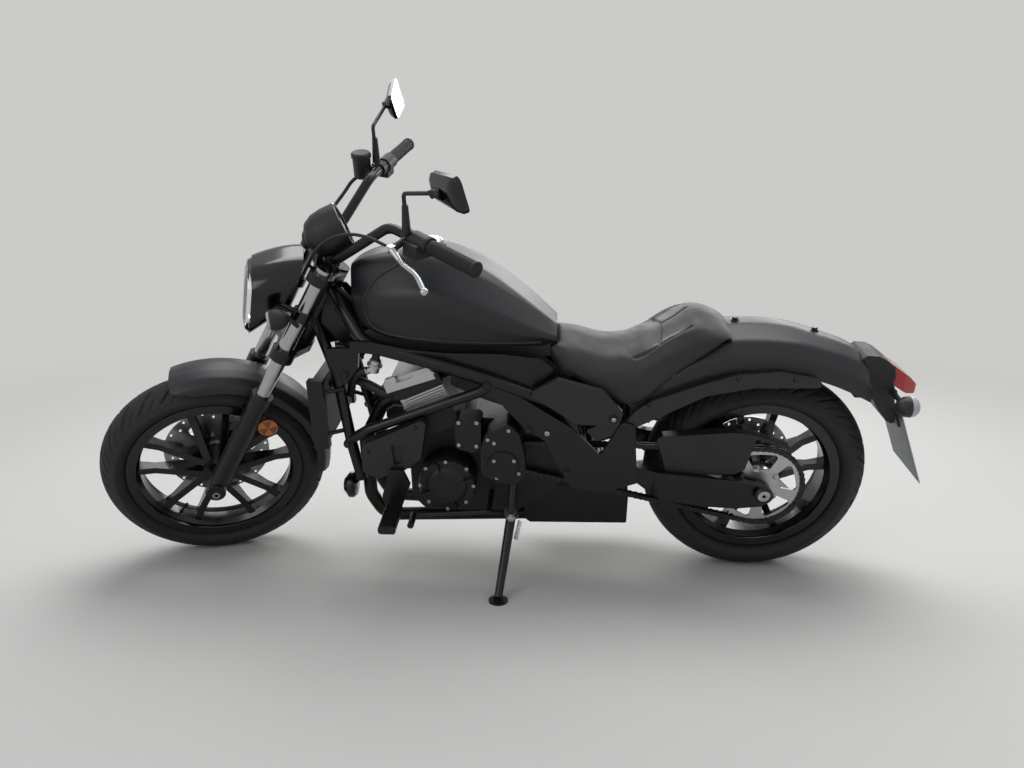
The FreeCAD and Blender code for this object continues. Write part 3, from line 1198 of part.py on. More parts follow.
def rear_axle():
    half = REAR_AXLE_LENGTH / 2
    shaft = rod(AXLE_RADIUS, REAR_AXLE - Vec(0, half, 0), REAR_AXLE + Vec(0, half, 0))
    nuts = [rod(17.0, REAR_AXLE + Vec(0, side * 140, 0), REAR_AXLE + Vec(0, side * half, 0)) for side in (-1, 1)]
    bore = rod(REAR_AXLE_BORE, REAR_AXLE - Vec(0, 200, 0), REAR_AXLE + Vec(0, 200, 0))
    return joined(shaft, *nuts).cut(bore)


GUARD_PLATE = [(494, 463), (510, 472), (699, 487), (758, 479), (849, 444), (846, 438), (759, 468), (736, 374),
               (712, 360), (509, 352), (522, 372)]
GUARD_LIP = [(510, 472), (699, 487), (758, 479), (849, 444), (848, 440), (757, 475), (699, 483), (510, 468)]


def chain_guard():
    """A flat guard beside the chain's upper run, with a lip over it."""
    side = side_plate(GUARD_PLATE, -121.0, -116.0, 5.0)
    top = side_plate(GUARD_LIP, -121.0, -88.0, 1.0)
    return joined(side, top)


def rear_shock():
    """The lay-down spring and damper on the right."""
    front, rear = Vec(300, 152, 452), Vec(560, 152, 392)
    way = rear - front
    way.normalize()
    body = rod(14.0, front, rear)
    spring = rod(26.0, front + way * 40, rear - way * 60)
    eyes = [rod(18.0, end - Vec(0, 10, 0), end + Vec(0, 16, 0)) for end in (front, rear)]
    return joined(body, spring, *eyes)


# Controls and stand
def foot_pegs():
    rubber = block(-236, -190, -334, -226, 288, 312)
    shank = block(-228, -200, -228, -190, 290, 310)
    hanger = side_plate([(-244, 280), (-200, 280), (-172, 352), (-190, 400), (-225, 400), (-250, 320)],
                        -198.0, -184.0, 8.0)
    return pair(joined(rubber.makeFillet(8.0, [e for e in rubber.Edges if abs(e.Length - 108) < 0.1]), shank, hanger))


def foot_controls():
    """The shift lever with its rod on the left and the brake pedal on the right."""
    shift_rod = rod(6.0, (-172, -184, 250), (40, -184, 266))
    shift_pad = rod(9.0, (-170, -178, 250), (-170, -240, 252))
    crank = rod(7.0, (40, -190, 266), (40, -82, 270))
    pedal_arm = rod(6.0, (-350, 186, 300), (-190, 190, 300))
    pedal_pad = rod(10.0, (-350, 180, 300), (-350, 236, 300))
    return Part.makeCompound([joined(shift_rod, shift_pad, crank), joined(pedal_arm, pedal_pad)])


def horn():
    disc = revolved([(0, 0), (30, 0), (37, 8), (37, 20), (20, 34), (0, 34)], (-350, -84, 284), (-1, 0, 0), Y_AXIS)
    return joined(disc, rod(5.0, (-356, -84, 286), (-324, -122, 332)))


STAND_PIVOT = (100.0, -150.0, 240.0)
STAND_FOOT = (70.0, -316.0)
STAND_FOLDED_WAY = (0.96, -0.25, -0.12)


def stand_foot_point():
    """The middle of the foot's sole, found on the floor and taken back to the upright machine."""
    return stance_placement().inverse().multVec(Vec(STAND_FOOT[0], STAND_FOOT[1], 0))


def stand_axis():
    way = stand_foot_point() - Vec(STAND_PIVOT)
    way.normalize()
    folded = Vec(STAND_FOLDED_WAY)
    folded.normalize()
    axis = way.cross(folded)
    axis.normalize()
    return axis


def side_stand():
    """The propped leg with its flat foot and the eye round its pivot bolt."""
    pivot, foot, axis = Vec(STAND_PIVOT), stand_foot_point(), stand_axis()
    up = stance_placement().Rotation.inverted().multVec(Z_AXIS)
    ankle = foot + up * 12
    leg = cone(14.0, 11.0, pivot, ankle)
    pad = rod(26.0, foot, foot + up * 6)
    ankle_block = rod(13.0, foot, ankle)
    eye = rod(20.0, pivot - axis * 7, pivot + axis * 7)
    bore = rod(8.0 + AXLE_CLEARANCE, pivot - axis * 40, pivot + axis * 40)
    gap = rod(24.0, pivot + axis * 7, pivot + axis * 60)
    other_gap = rod(24.0, pivot - axis * 7, pivot - axis * 60)
    return joined(leg, pad, ankle_block, eye).cut(bore).cut(gap).cut(other_gap)


def stand_bracket():
    """The lug and pivot bolt that carry the side stand."""
    pivot, axis = Vec(STAND_PIVOT), stand_axis()
    bolt = rod(8.0, pivot - axis * 12, pivot + axis * 12)
    head = rod(13.0, pivot - axis * 16, pivot - axis * 7.5)
    lug = rod(17.0, pivot + axis * 7.5, pivot + axis * 24)
    arm = rod(11.0, pivot + axis * 19, (106, -122, 350))
    return joined(bolt, head, lug, arm)


# Placing on the floor
def lowest_point(centre, axle, radius, crown, place):
    """Height of the lowest point of a tyre whose crown is a circle swept round its axle."""
    centre = place.multVec(centre)
    axle = place.Rotation.multVec(axle)
    return centre.z - (radius - crown) * math.sqrt(1 - axle.z ** 2) - crown


def steer_placement(angle):
    """Turns the front assembly about the steering axis, positive to the left."""
    turn = FreeCAD.Rotation(STEER_AXIS, angle)
    pivot = Vec(AXIS_GROUND_X, 0, 0)
    return FreeCAD.Placement(pivot - turn.multVec(pivot), turn)


def stance_placement():
    """Leans the machine to the left and pitches it so that both tyres touch the floor."""
    steer = steer_placement(STEER_AT_REST)
    front_centre = steer.multVec(FRONT_AXLE)
    front_axle_way = steer.Rotation.multVec(Y_AXIS)
    pitch = 0.0
    for _ in range(12):
        turn = FreeCAD.Rotation(Y_AXIS, pitch).multiply(FreeCAD.Rotation(X_AXIS, LEAN))
        place = FreeCAD.Placement(Vec(0, 0, 0), turn)
        front = lowest_point(front_centre, front_axle_way, FRONT_TYRE_RADIUS, FRONT_CROWN_RADIUS, place)
        rear = lowest_point(REAR_AXLE, Y_AXIS, REAR_TYRE_RADIUS, REAR_CROWN_RADIUS, place)
        pitch -= math.degrees((front - rear) / WHEELBASE)
    return FreeCAD.Placement(Vec(0, 0, -rear), turn)


# The pieces: name, its maker, the body it moves with, and the pieces it is cut to seat against
PIECES = (
    ("frame", frame_tubes, "chassis", ()),
    ("engine_case", engine_case, "chassis", ("frame",)),
    ("engine_cylinders", engine_cylinders, "chassis", ("frame", "engine_case")),
    ("cylinder_fins", cylinder_fins, "chassis", ("frame", "engine_case", "engine_cylinders")),
    ("head_cover", head_cover, "chassis", ("frame", "engine_cylinders")),
    ("engine_covers", engine_covers, "chassis", ("frame", "engine_case", "engine_cylinders", "cylinder_fins")),
    ("chain", chain, "chassis", ()),
    ("swingarm", swingarm, "chassis", ("frame",)),
    ("rear_axle", rear_axle, "chassis", ()),
    ("sprocket_cover", sprocket_cover, "chassis", ("frame", "engine_case", "engine_covers")),
    ("chain_guard", chain_guard, "chassis", ("swingarm", "frame")),
    ("rear_shock", rear_shock, "chassis", ("frame", "swingarm")),
    ("radiator", radiator, "chassis", ("frame",)),
    ("lower_cowl", lower_cowl, "chassis", ("frame",)),
    ("coolant_hose", coolant_hose, "chassis", ("frame", "radiator", "engine_cylinders")),
    ("header_pipes", header_pipes, "chassis", ("frame", "engine_case", "engine_cylinders")),
    ("silencer", silencer, "chassis", ("frame", "engine_case", "header_pipes", "swingarm")),
    ("air_box", air_box, "chassis", ("frame", "engine_case", "engine_cylinders", "head_cover")),
    ("fuel_tank", fuel_tank, "chassis", ("frame", "air_box")),
    ("fuel_cap", fuel_cap, "fuel_lid", ()),
    ("rear_fender", rear_fender, "chassis", ()),
    ("fender_rails", fender_rails, "chassis", ("frame", "rear_fender", "swingarm", "rear_shock")),
    ("seat", seat, "chassis", ("frame", "air_box", "fuel_tank", "rear_fender", "fender_rails")),
    ("side_covers", side_covers, "chassis", ("frame", "seat", "fender_rails")),
    ("tail_housing", tail_housing, "chassis", ("rear_fender",)),
    ("tail_lens", tail_lens, "chassis", ("tail_housing",)),
    ("rear_indicators", rear_indicators, "chassis", ("tail_housing",)),
    ("number_plate", number_plate, "chassis", ("tail_housing",)),
    ("foot_pegs", foot_pegs, "chassis", ("frame", "engine_covers", "lower_cowl")),
    ("foot_controls", foot_controls, "chassis", ("engine_covers", "engine_case", "foot_pegs")),
    ("horn", horn, "chassis", ("frame", "radiator")),
    ("stand_bracket", stand_bracket, "chassis", ("frame", "engine_case", "sprocket_cover")),
    ("side_stand", side_stand, "side_stand", ()),
    ("rear_rim", rear_rim, "rear_wheel", ()),
    ("rear_tyre", rear_tyre, "rear_wheel", ()),
    ("rear_disc", rear_disc, "rear_wheel", ()),
    ("rear_sprocket", rear_sprocket, "rear_wheel", ()),
    ("rear_caliper", rear_caliper, "chassis", ("swingarm",)),
    ("front_rim", front_rim, "front_wheel", ()),
    ("front_tyre", front_tyre, "front_wheel", ()),
    ("front_disc", front_disc, "front_wheel", ()),
    ("fork_sliders", fork_sliders, "steering", ()),
    ("fork_stanchions", fork_stanchions, "steering", ()),
    ("lower_yoke", lower_yoke, "steering", ()),
    ("handlebar", handlebar, "steering", ()),
    ("upper_yoke", upper_yoke, "steering", ("lower_yoke", "handlebar")),
    ("front_axle", front_axle, "steering", ()),
    ("front_caliper", front_caliper, "steering", ("fork_sliders",)),
    ("front_fender", front_fender, "steering", ("fork_sliders",)),
    ("headlight_shell", headlight_shell, "steering", ("fork_stanchions", "lower_yoke", "upper_yoke", "handlebar")),
    ("headlight_lens", headlight_lens, "steering", ("headlight_shell",)),
    ("meter_pod", meter_pod, "steering", ("headlight_shell", "upper_yoke", "handlebar", "fork_stanchions")),
    ("grips", grips, "steering", ("handlebar",)),
    ("switch_housings", switch_housings, "steering", ("handlebar", "grips")),
    ("levers", levers, "steering", ("switch_housings",)),
    ("mirror_heads", mirror_heads, "steering", ()),
    ("mirror_glass", mirror_glass, "steering", ()),
    ("mirror_stems", mirror_stems, "steering", ("handlebar", "switch_housings", "mirror_heads")),
    ("front_indicators", front_indicators, "steering", ("fork_stanchions", "headlight_shell")),
    ("control_cables", control_cables, "steering", ("switch_housings", "upper_yoke")),
)


def drawn_pieces():
    """Every piece on the upright machine, cut to seat against the ones it rests on."""
    pieces = {}
    for name, make, body, seats_on in PIECES:
        shape = make()
        for other in seats_on:
            shape = shape.cut(pieces[other])
        pieces[name] = shape
    return pieces


def body_placements():
    """Where each body stands, before the origin is moved."""
    stance = stance_placement()
    steered = stance.multiply(steer_placement(STEER_AT_REST))
    return {"chassis": stance, "rear_wheel": stance, "side_stand": stance, "fuel_lid": stance,
            "steering": steered, "front_wheel": steered}


def placed_pieces():
    """Every piece on the floor, with the origin in the middle of the machine's footprint."""
    placements = body_placements()
    placed = {}
    bounds = FreeCAD.BoundBox()
    drawn = drawn_pieces()
    for name, make, body, seats_on in PIECES:
        shape = drawn[name].copy()
        shape.Placement = placements[body].multiply(shape.Placement)
        placed[name] = shape
        bounds.add(shape.optimalBoundingBox(False, False))
    shift = Vec(-bounds.Center.x, -bounds.Center.y, -bounds.ZMin)
    for shape in placed.values():
        shape.translate(shift)
    return placed, shift


def main():
    os.makedirs("parts", exist_ok=True)
    placed, shift = placed_pieces()
    for name, shape in placed.items():
        shape.exportStep(os.path.join("parts", name + ".step"))


if __name__ == "__main__":
    main()
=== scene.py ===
# %% [markdown]
# # Dressing a cruiser motorcycle
# The metal of this motorcycle is already built: every tube, casting and cover arrives as a finished
# solid at its real size. What is left is what the eye reads as real: paint that is matt here and glossy
# there, rubber with its tread, stitched vinyl, polished tubes, glass, bolts and cables.
# Each cell makes one thing, and says what it is on the real machine and why it is made that way.

# %% Load the machine
import json
import math

import bmesh
import bpy
from mathutils import Matrix, Vector


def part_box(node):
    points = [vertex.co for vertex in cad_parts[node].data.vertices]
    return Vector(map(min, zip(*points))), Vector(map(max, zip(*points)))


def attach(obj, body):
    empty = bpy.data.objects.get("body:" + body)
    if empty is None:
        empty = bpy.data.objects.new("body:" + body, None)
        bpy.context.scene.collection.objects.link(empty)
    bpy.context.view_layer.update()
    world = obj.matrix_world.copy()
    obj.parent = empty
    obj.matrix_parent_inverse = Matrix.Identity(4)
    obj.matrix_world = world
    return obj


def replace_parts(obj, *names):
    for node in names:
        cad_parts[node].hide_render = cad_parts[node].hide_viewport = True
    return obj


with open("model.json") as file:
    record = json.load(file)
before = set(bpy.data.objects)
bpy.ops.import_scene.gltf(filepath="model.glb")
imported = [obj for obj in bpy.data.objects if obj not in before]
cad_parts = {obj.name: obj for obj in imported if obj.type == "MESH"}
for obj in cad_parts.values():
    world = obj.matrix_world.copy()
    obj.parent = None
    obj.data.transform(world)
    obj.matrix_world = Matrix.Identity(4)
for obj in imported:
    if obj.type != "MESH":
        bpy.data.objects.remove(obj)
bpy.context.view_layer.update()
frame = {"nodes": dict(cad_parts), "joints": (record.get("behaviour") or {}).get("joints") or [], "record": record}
nodes = frame["nodes"]
print("pieces that came in:", len(nodes))


# %% [markdown]
# ## The camera
# A wide lens close to the machine makes the near handlebar look large and the far wheel small. That
# perspective has to match before any shape is judged, so the camera stands where the photographer
# stood. Its place is measured from the middle of the rear wheel, which doesn't move.

# %% Camera
CAMERA_FROM_REAR_WHEEL = (-0.574, -2.205, 0.753)
CAMERA_TURN = (76.88, -0.125, 3.147)
FOCAL_LENGTH_PIXELS = 789.5
IMAGE_WIDTH_PIXELS = 1024
SENSOR_WIDTH = 36.0


def middle(node_name):
    """The middle of a node's box, in metres."""
    low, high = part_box(node_name)
    return (low + high) / 2


camera_data = bpy.data.cameras.new("camera")
camera_data.sensor_width = SENSOR_WIDTH
camera_data.lens = FOCAL_LENGTH_PIXELS * SENSOR_WIDTH / IMAGE_WIDTH_PIXELS
camera = bpy.data.objects.new("camera", camera_data)
camera.location = middle("rear_tyre") + Vector(CAMERA_FROM_REAR_WHEEL)
camera.rotation_euler = [math.radians(angle) for angle in CAMERA_TURN]
bpy.context.scene.collection.objects.link(camera)
bpy.context.scene.camera = camera
print("lens in millimetres:", round(camera_data.lens, 1))


# %% [markdown]
# ## Drawing in the machine's own measures
# A mechanic measures a motorcycle standing upright: back along it, across to its right, and up from the
# ground. This one leans on its stand and its front end is turned, so every small part below is drawn
# upright, in millimetres, and one matrix puts it in its place. The steering line and the wheels' lines
# come with the joints, and are enough to say how the machine leans and how its bars are turned.

# %% The upright machine
RAKE = math.radians(31)
REAR_WHEEL_CENTRE = (787.5, 0, 312)
FRONT_WHEEL_CENTRE = (-787.5, 0, 312.5)
MILLIMETRE = 0.001
LEFT, RIGHT, BOTH = (-1,), (1,), (-1, 1)
joints = {joint["name"]: joint for joint in frame["joints"]}


def upright_frame(wheel_joint, wheel_centre):
    """The matrix from the upright machine's millimetres to the room's metres."""
    steering_line = Vector(joints["steering"]["axis"]).normalized()
    across = Vector(joints[wheel_joint]["axis"]).normalized()
    back = across.cross(steering_line)
    along = math.sin(RAKE) * steering_line + math.cos(RAKE) * back
    up = math.cos(RAKE) * steering_line - math.sin(RAKE) * back
    turn = Matrix((along, across, up)).transposed() * MILLIMETRE
    matrix = turn.to_4x4()
    matrix.translation = Vector(joints[wheel_joint]["pos_m"]) - turn @ Vector(wheel_centre)
    return matrix


CHASSIS = upright_frame("rear_wheel_spin", REAR_WHEEL_CENTRE)
STEERED = upright_frame("front_wheel_spin", FRONT_WHEEL_CENTRE)
FRAME_OF_BODY = {"chassis": CHASSIS, "rear_wheel": CHASSIS, "side_stand": CHASSIS, "fuel_lid": CHASSIS,
                 "steering": STEERED, "front_wheel": STEERED}
BODY_OF_NODE = {}
for body, node_names in frame["record"]["behaviour"]["bodies"].items():
    for node_name in node_names:
        BODY_OF_NODE[node_name] = body
upright = CHASSIS.to_3x3() @ Vector((0, 0, 1 / MILLIMETRE))
print("lean in degrees:", round(math.degrees(upright.angle(Vector((0, 0, 1)))), 1))


# %% [markdown]
# ## The small shapes that everything is made of
# Screws, springs, hubs and tyres are all rings of points joined by bands of faces. One function makes a
# ring, one joins rings, and a part from the lathe is a short use of the two. That is quicker to
# read, and lighter, than cutting solids from each other.

# %% Rings, skins and turned parts
def circle(place, turn, radius, sides, hexagon=False):
    """Points round a circle, or round a hexagon given by half its width across flats."""
    points = []
    for i in range(sides):
        angle = 2 * math.pi * i / sides
        reach = radius
        if hexagon:
            reach = radius / math.cos((angle + math.pi / 6) % (math.pi / 3) - math.pi / 6)
        points.append(place + turn @ Vector((reach * math.cos(angle), reach * math.sin(angle), 0)))
    return points


def skin(mesh, rings, loop=False):
    """Joins each ring to the next with faces, and closes the two ends unless the rings form a loop."""
    rows = [[mesh.verts.new(point) for point in points] for points in rings]
    count = len(rows[0])
    for row, after in zip(rows, rows[1:] + rows[:1] if loop else rows[1:]):
        for i in range(count):
            j = (i + 1) % count
            mesh.faces.new((row[i], row[j], after[j], after[i]))
    if not loop:
        mesh.faces.new(rows[0])
        mesh.faces.new(rows[-1])


def turned(mesh, place, way, profile, sides=32):
    """A part from the lathe: rows of (distance along, radius), and a third value for a hexagon."""
    way = Vector(way).normalized()
    turn = way.to_track_quat("Z", "X")
    skin(mesh, [circle(Vector(place) + way * row[0], turn, row[1], sides, len(row) > 2) for row in profile])


def turned_ring(mesh, place, way, profile, sides=48):
    """A turned part with a hole through it, from a closed section of (distance along, radius)."""
    way = Vector(way).normalized()
    turn = way.to_track_quat("Z", "X")
    rings = [circle(Vector(place) + way * along, turn, radius, sides) for along, radius in profile]
    skin(mesh, rings, loop=True)


# %% [markdown]
# ## Bent bars, coils and blocks
# A wire or hose is a ring carried along a path. At each step the ring turns by as much as the path does
# and no more, so the bar doesn't twist. A coil spring is the same bar on a coil's path.

# %% Bars, coils and blocks
def bent_bar(mesh, path, radius, sides=10):
    """A round bar, wire or coil along a path of points."""
    path = [Vector(point) for point in path]
    ways = [(after - before).normalized() for before, after in zip(path[:1] + path, path[1:] + path[-1:])]
    turn = ways[0].to_track_quat("Z", "X")
    rings = []
    for point, before, way in zip(path, ways[:1] + ways, ways):
        turn = before.rotation_difference(way) @ turn
        rings.append(circle(point, turn, radius, sides))
    skin(mesh, rings)


def coil(start, end, radius, turns, steps=20):
    """The path of a coil spring from start to end."""
    start = Vector(start)
    length = Vector(end) - start
    turn = length.to_track_quat("Z", "X")
    path = []
    for i in range(int(turns * steps) + 1):
        angle = 2 * math.pi * i / steps
        out = turn @ Vector((radius * math.cos(angle), radius * math.sin(angle), 0))
        path.append(start + length * (i / (turns * steps)) + out)
    return path


def on_side(point, side):
    """The point itself on the right, or its mirror image on the left."""
    return Vector((point.x, side * point.y, point.z))


def slab(mesh, centre, size, turn=Matrix.Identity(3)):
    """A rectangular block given by its middle and its three sizes."""
    corners = [Vector(centre) + turn @ Vector((size[0] * x / 2, size[1] * y / 2, size[2] * z / 2))
               for z in (-1, 1) for x, y in ((-1, -1), (1, -1), (1, 1), (-1, 1))]
    skin(mesh, [corners[:4], corners[4:]])


# %% [markdown]
# ## From a drawing to a piece
# A drawing becomes a piece of the machine when it is put in its place, given its material and told which
# moving part it belongs to, so that it turns with the bars or the wheels.

# %% Making a piece
SHARP_ANGLE = math.radians(35)


def piece(name, mesh, body, material):
    """Turns a drawing in millimetres into a piece that rides on a body."""
    mesh.transform(FRAME_OF_BODY[body])
    bmesh.ops.recalc_face_normals(mesh, faces=mesh.faces)
    data = bpy.data.meshes.new(name)
    mesh.to_mesh(data)
    mesh.free()
    data.materials.append(material)
    data.shade_smooth()
    data.set_sharp_from_angle(angle=SHARP_ANGLE)
    made = bpy.data.objects.new(name, data)
    bpy.context.scene.collection.objects.link(made)
    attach(made, body)
    print(name, "faces:", len(data.polygons))
    return made


# %% [markdown]
# ## Colours and nodes
# Colours are written as they look on a screen, as sRGB hex values, and turned to the linear values that
# a renderer adds up. One small function adds a node with its settings, its values and its links.

# %% Colours and nodes
def linear(code):
    """The linear red, green, blue and alpha of an sRGB hex colour such as #2A2B2D."""
    channels = [int(code[i:i + 2], 16) / 255 for i in (1, 3, 5)]
    return (*[c / 12.92 if c <= 0.04045 else ((c + 0.055) / 1.055) ** 2.4 for c in channels], 1.0)


def add_node(tree, kind, settings=None, values=None, links=None):
    """Adds a node; settings are its own, values go to its inputs, links bring other nodes' outputs."""
    node = tree.nodes.new(kind)
    for name, value in (settings or {}).items():
        setattr(node, name, value)
    for name, value in (values or {}).items():
        node.inputs[name].default_value = value
    for name, output in (links or {}).items():
        tree.links.new(output, node.inputs[name])
    return node


# %% [markdown]
# ## How a finish is written
# No real finish is even, so its colour and its roughness are each given as two values and the pattern
# that blends them, and its relief as a height, a strength and a pattern. A pattern's size is a real one,
# in millimetres. Every finish is then a short recipe. Edges are rounded a little for the light alone,
# because a real edge is always broken.

# %% Patterns and recipes
TEXTURES = {
    # the kind of node, its settings, and the output that carries the pattern
    "clouds": ("ShaderNodeTexNoise", {}, "Fac"),
    "grains": ("ShaderNodeTexVoronoi", {}, "Distance"),
    "hide": ("ShaderNodeTexVoronoi", {"feature": "DISTANCE_TO_EDGE"}, "Distance"),
    "facets": ("ShaderNodeTexVoronoi", {"distance": "CHEBYCHEV"}, "Distance"),
    "folds": ("ShaderNodeTexWave", {"bands_direction": "Z"}, "Fac"),
}
COLOUR_STOPS = (0.35, 0.65)
ROUGHNESS_STOPS = (0.3, 0.7)
EDGE_ROUNDING = 1.2


def pattern(tree, texture, millimetres, *detail):
    """A grey pattern of about that size; clouds may be given their detail and how rough it is."""
    kind, settings, output = TEXTURES[texture]
    values = {"Scale": 1 / (millimetres * MILLIMETRE), **dict(zip(("Detail", "Roughness"), detail))}
    point = add_node(tree, "ShaderNodeTexCoord").outputs["Object"]
    return add_node(tree, kind, settings, values, {"Vector": point}).outputs[output]


def raise_surface(tree, height, millimetres, strength):
    """Raises the surface where a pattern is white, over edges that are broken as a real edge is."""
    edge = add_node(tree, "ShaderNodeBevel", {"samples": 4}, {"Radius": EDGE_ROUNDING * MILLIMETRE})
    relief = add_node(tree, "ShaderNodeBump",
                      values={"Strength": strength, "Distance": millimetres * MILLIMETRE},
                      links={"Height": height, "Normal": edge.outputs["Normal"]})
    tree.links.new(relief.outputs["Normal"], tree.nodes["Principled BSDF"].inputs["Normal"])


def finish(name, colours, roughness, relief=None, **values):
    """A material from its recipe, with values for the shader's other sockets."""
    material = bpy.data.materials.new(name)
    material.use_nodes = True
    tree = material.node_tree
    shader = tree.nodes["Principled BSDF"]
    for socket, value in values.items():
        shader.inputs[socket.replace("_", " ")].default_value = value
    if isinstance(colours, str):
        shader.inputs["Base Color"].default_value = linear(colours)
    else:
        ramp = add_node(tree, "ShaderNodeValToRGB", links={"Fac": pattern(tree, *colours[2])})
        for stop, place, colour in zip(ramp.color_ramp.elements, COLOUR_STOPS, colours):
            stop.position = place
            stop.color = linear(colour)
        tree.links.new(ramp.outputs["Color"], shader.inputs["Base Color"])
    if isinstance(roughness, float):
        shader.inputs["Roughness"].default_value = roughness
    else:
        low, high, texture = roughness
        blend = add_node(tree, "ShaderNodeMapRange", links={"Value": pattern(tree, *texture)}, values={
            "From Min": ROUGHNESS_STOPS[0], "From Max": ROUGHNESS_STOPS[1], "To Min": low, "To Max": high})
        tree.links.new(blend.outputs["Result"], shader.inputs["Roughness"])
    if relief:
        millimetres, strength, texture = relief
        raise_surface(tree, pattern(tree, *texture), millimetres, strength)
    return material


# %% [markdown]
# ## Matt black paint
# The tank, mudguards and side covers are steel and ABS sprayed with a flat black two-pack paint.
# Flat paint holds a fine silica that scatters the light: broad grey highlights, no mirror image, and a
# slight sparkle. A dielectric with IOR 1.5 and a roughness near 0.4 gives that, and a very fine
# noise keeps the highlight from looking like plastic.

# %% Matt paint
FLECK = ("clouds", 0.9)
MATT = finish("flat_black_two_pack_paint", ("#17181B", "#212327", FLECK), (0.36, 0.44, ("clouds", 160.0)),
              (0.02, 0.4, FLECK), IOR=1.5)
print("painted with", MATT.name)


# %% [markdown]
# ## Powder coat
# Frame, swingarm and brackets are powder coated: plastic powder melted onto steel. It is
# glossier than the paint and has an orange peel, low waves a few millimetres apart. The peel is drawn
# at 3 mm, so that it still breaks the reflections at this distance.

# %% Powder coat
PEEL = ("clouds", 3.0, 1.0)
POWDER = finish("black_powder_coat", ("#0E0F10", "#131415", PEEL), (0.26, 0.38, ("clouds", 90.0, 3.0)),
                (0.06, 0.5, PEEL), IOR=1.5, Specular_IOR_Level=0.4)
print("coated with", POWDER.name)


# %% [markdown]
# ## Cast and moulded parts
# The crankcase and its covers are die cast aluminium under black paint: a little rougher, with the
# grain of the die. The wheels are cast too, under a black lacquer whose gloss draws a bright line along
# each spoke. The lamp shell is gloss black ABS. Guards, switch housings and the tail are unpainted
# polypropylene, moulded with a fine leather-like grain, which looks greyer than paint.

# %% Castings and plastics
DIE_GRAIN = ("clouds", 1.6, 4.0, 0.6)
CAST = finish("black_painted_die_cast_aluminium", ("#101113", "#18191B", DIE_GRAIN),
              (0.38, 0.52, ("clouds", 60.0, 3.0)), (0.12, 0.5, DIE_GRAIN), IOR=1.5, Specular_IOR_Level=0.4)
FLOW = ("clouds", 18.0)
LACQUER = finish("black_lacquered_cast_aluminium", ("#08090A", "#0C0D0F", FLOW), (0.14, 0.24, FLOW),
                 (0.05, 0.3, FLOW), IOR=1.52)
GLOSS = finish("gloss_black_abs", "#08090B", 0.16, (0.08, 0.3, ("clouds", 40.0, 1.0)), IOR=1.53)
MOULD_GRAIN = ("grains", 1.8)
PLASTIC = finish("moulded_polypropylene", ("#191A1B", "#222325", MOULD_GRAIN),
                 (0.46, 0.58, ("clouds", 70.0, 3.0)), (0.08, 0.5, MOULD_GRAIN), IOR=1.49)
print("castings and plastics:", [material.name for material in (CAST, LACQUER, GLOSS, PLASTIC)])


# %% [markdown]
# ## Bright metals
# A metal has no colour but its reflection, so these start from the metal's own reflectance with
# metallic at 1. Fork tubes are hard chromed and ground, nearly a mirror. Levers are polished, and the
# head cover is bead blasted aluminium, even and dull. The exhaust is stainless steel, darkened by heat
# and road dirt, and the chain's plates are dark with oil that has picked up dust.

# %% Bright metals
CHROME = finish("hard_chromed_steel", "#B4B6B8", 0.14, (0.02, 0.3, ("clouds", 20.0, 1.0)), Metallic=1.0)
POLISHED = finish("polished_aluminium", "#BFC1C3", (0.16, 0.26, ("clouds", 12.0, 3.0)), Metallic=1.0)
BLAST_GRAIN = ("clouds", 1.2, 3.0)
BLASTED = finish("bead_blasted_aluminium", ("#BDBEBF", "#CECFCF", BLAST_GRAIN),
                 (0.4, 0.52, ("clouds", 45.0, 3.0)), (0.08, 0.5, BLAST_GRAIN), Metallic=1.0)
SPANGLE = ("clouds", 14.0, 3.0)
ZINC = finish("zinc_plated_steel", ("#A6A8AB", "#BFC1C4", SPANGLE), (0.24, 0.36, SPANGLE), Metallic=1.0)
EXHAUST = finish("heat_tinted_stainless_steel", ("#2A2928", "#3B3937", ("clouds", 60.0, 4.0)),
                 (0.34, 0.5, ("clouds", 9.0, 3.0)), Metallic=1.0)
GRIME = ("clouds", 5.0, 4.0)
CHAIN_STEEL = finish("oiled_chain_steel", ("#1D1C1B", "#4B4946", GRIME), (0.34, 0.55, GRIME), Metallic=0.85)
print("metals:", [material.name for material in (CHROME, POLISHED, BLASTED, ZINC, EXHAUST, CHAIN_STEEL)])


# %% [markdown]
# ## Turned steel
# Discs and the sprocket are faced on a lathe, which leaves fine rings round the axle. A ring depends on
# the distance from the axle's line alone, so a sine of that distance draws them, 1.4 mm apart.

# %% Turned steel
TURNED_RING = 1.4


def turned_steel(name, wheel_part):
    """Steel with fine machined rings round the middle of a part of the wheel."""
    material = finish(name, ("#B6B7B9", "#C2C3C5", ("clouds", 40.0, 3.0)), (0.3, 0.38, ("clouds", 25.0, 3.0)),
                      Metallic=1.0)
    tree = material.node_tree
    point = add_node(tree, "ShaderNodeTexCoord").outputs["Object"]
    away = add_node(tree, "ShaderNodeVectorMath", {"operation": "DISTANCE"}, {1: middle(wheel_part)},
                    {0: point})
    angle = add_node(tree, "ShaderNodeMath", {"operation": "MULTIPLY"},
                     {1: 2 * math.pi / (TURNED_RING * MILLIMETRE)}, {0: away.outputs["Value"]})
    rings = add_node(tree, "ShaderNodeMath", {"operation": "SINE"}, links={0: angle.outputs[0]})
    raise_surface(tree, rings.outputs[0], 0.01, 0.25)
    return material


FRONT_STEEL = turned_steel("brushed_front_disc_steel", "front_disc")
REAR_STEEL = turned_steel("brushed_rear_disc_steel", "rear_disc")
SPROCKET_STEEL = turned_steel("brushed_sprocket_steel", "rear_sprocket")
print("turned steel:", [material.name for material in (FRONT_STEEL, REAR_STEEL, SPROCKET_STEEL)])


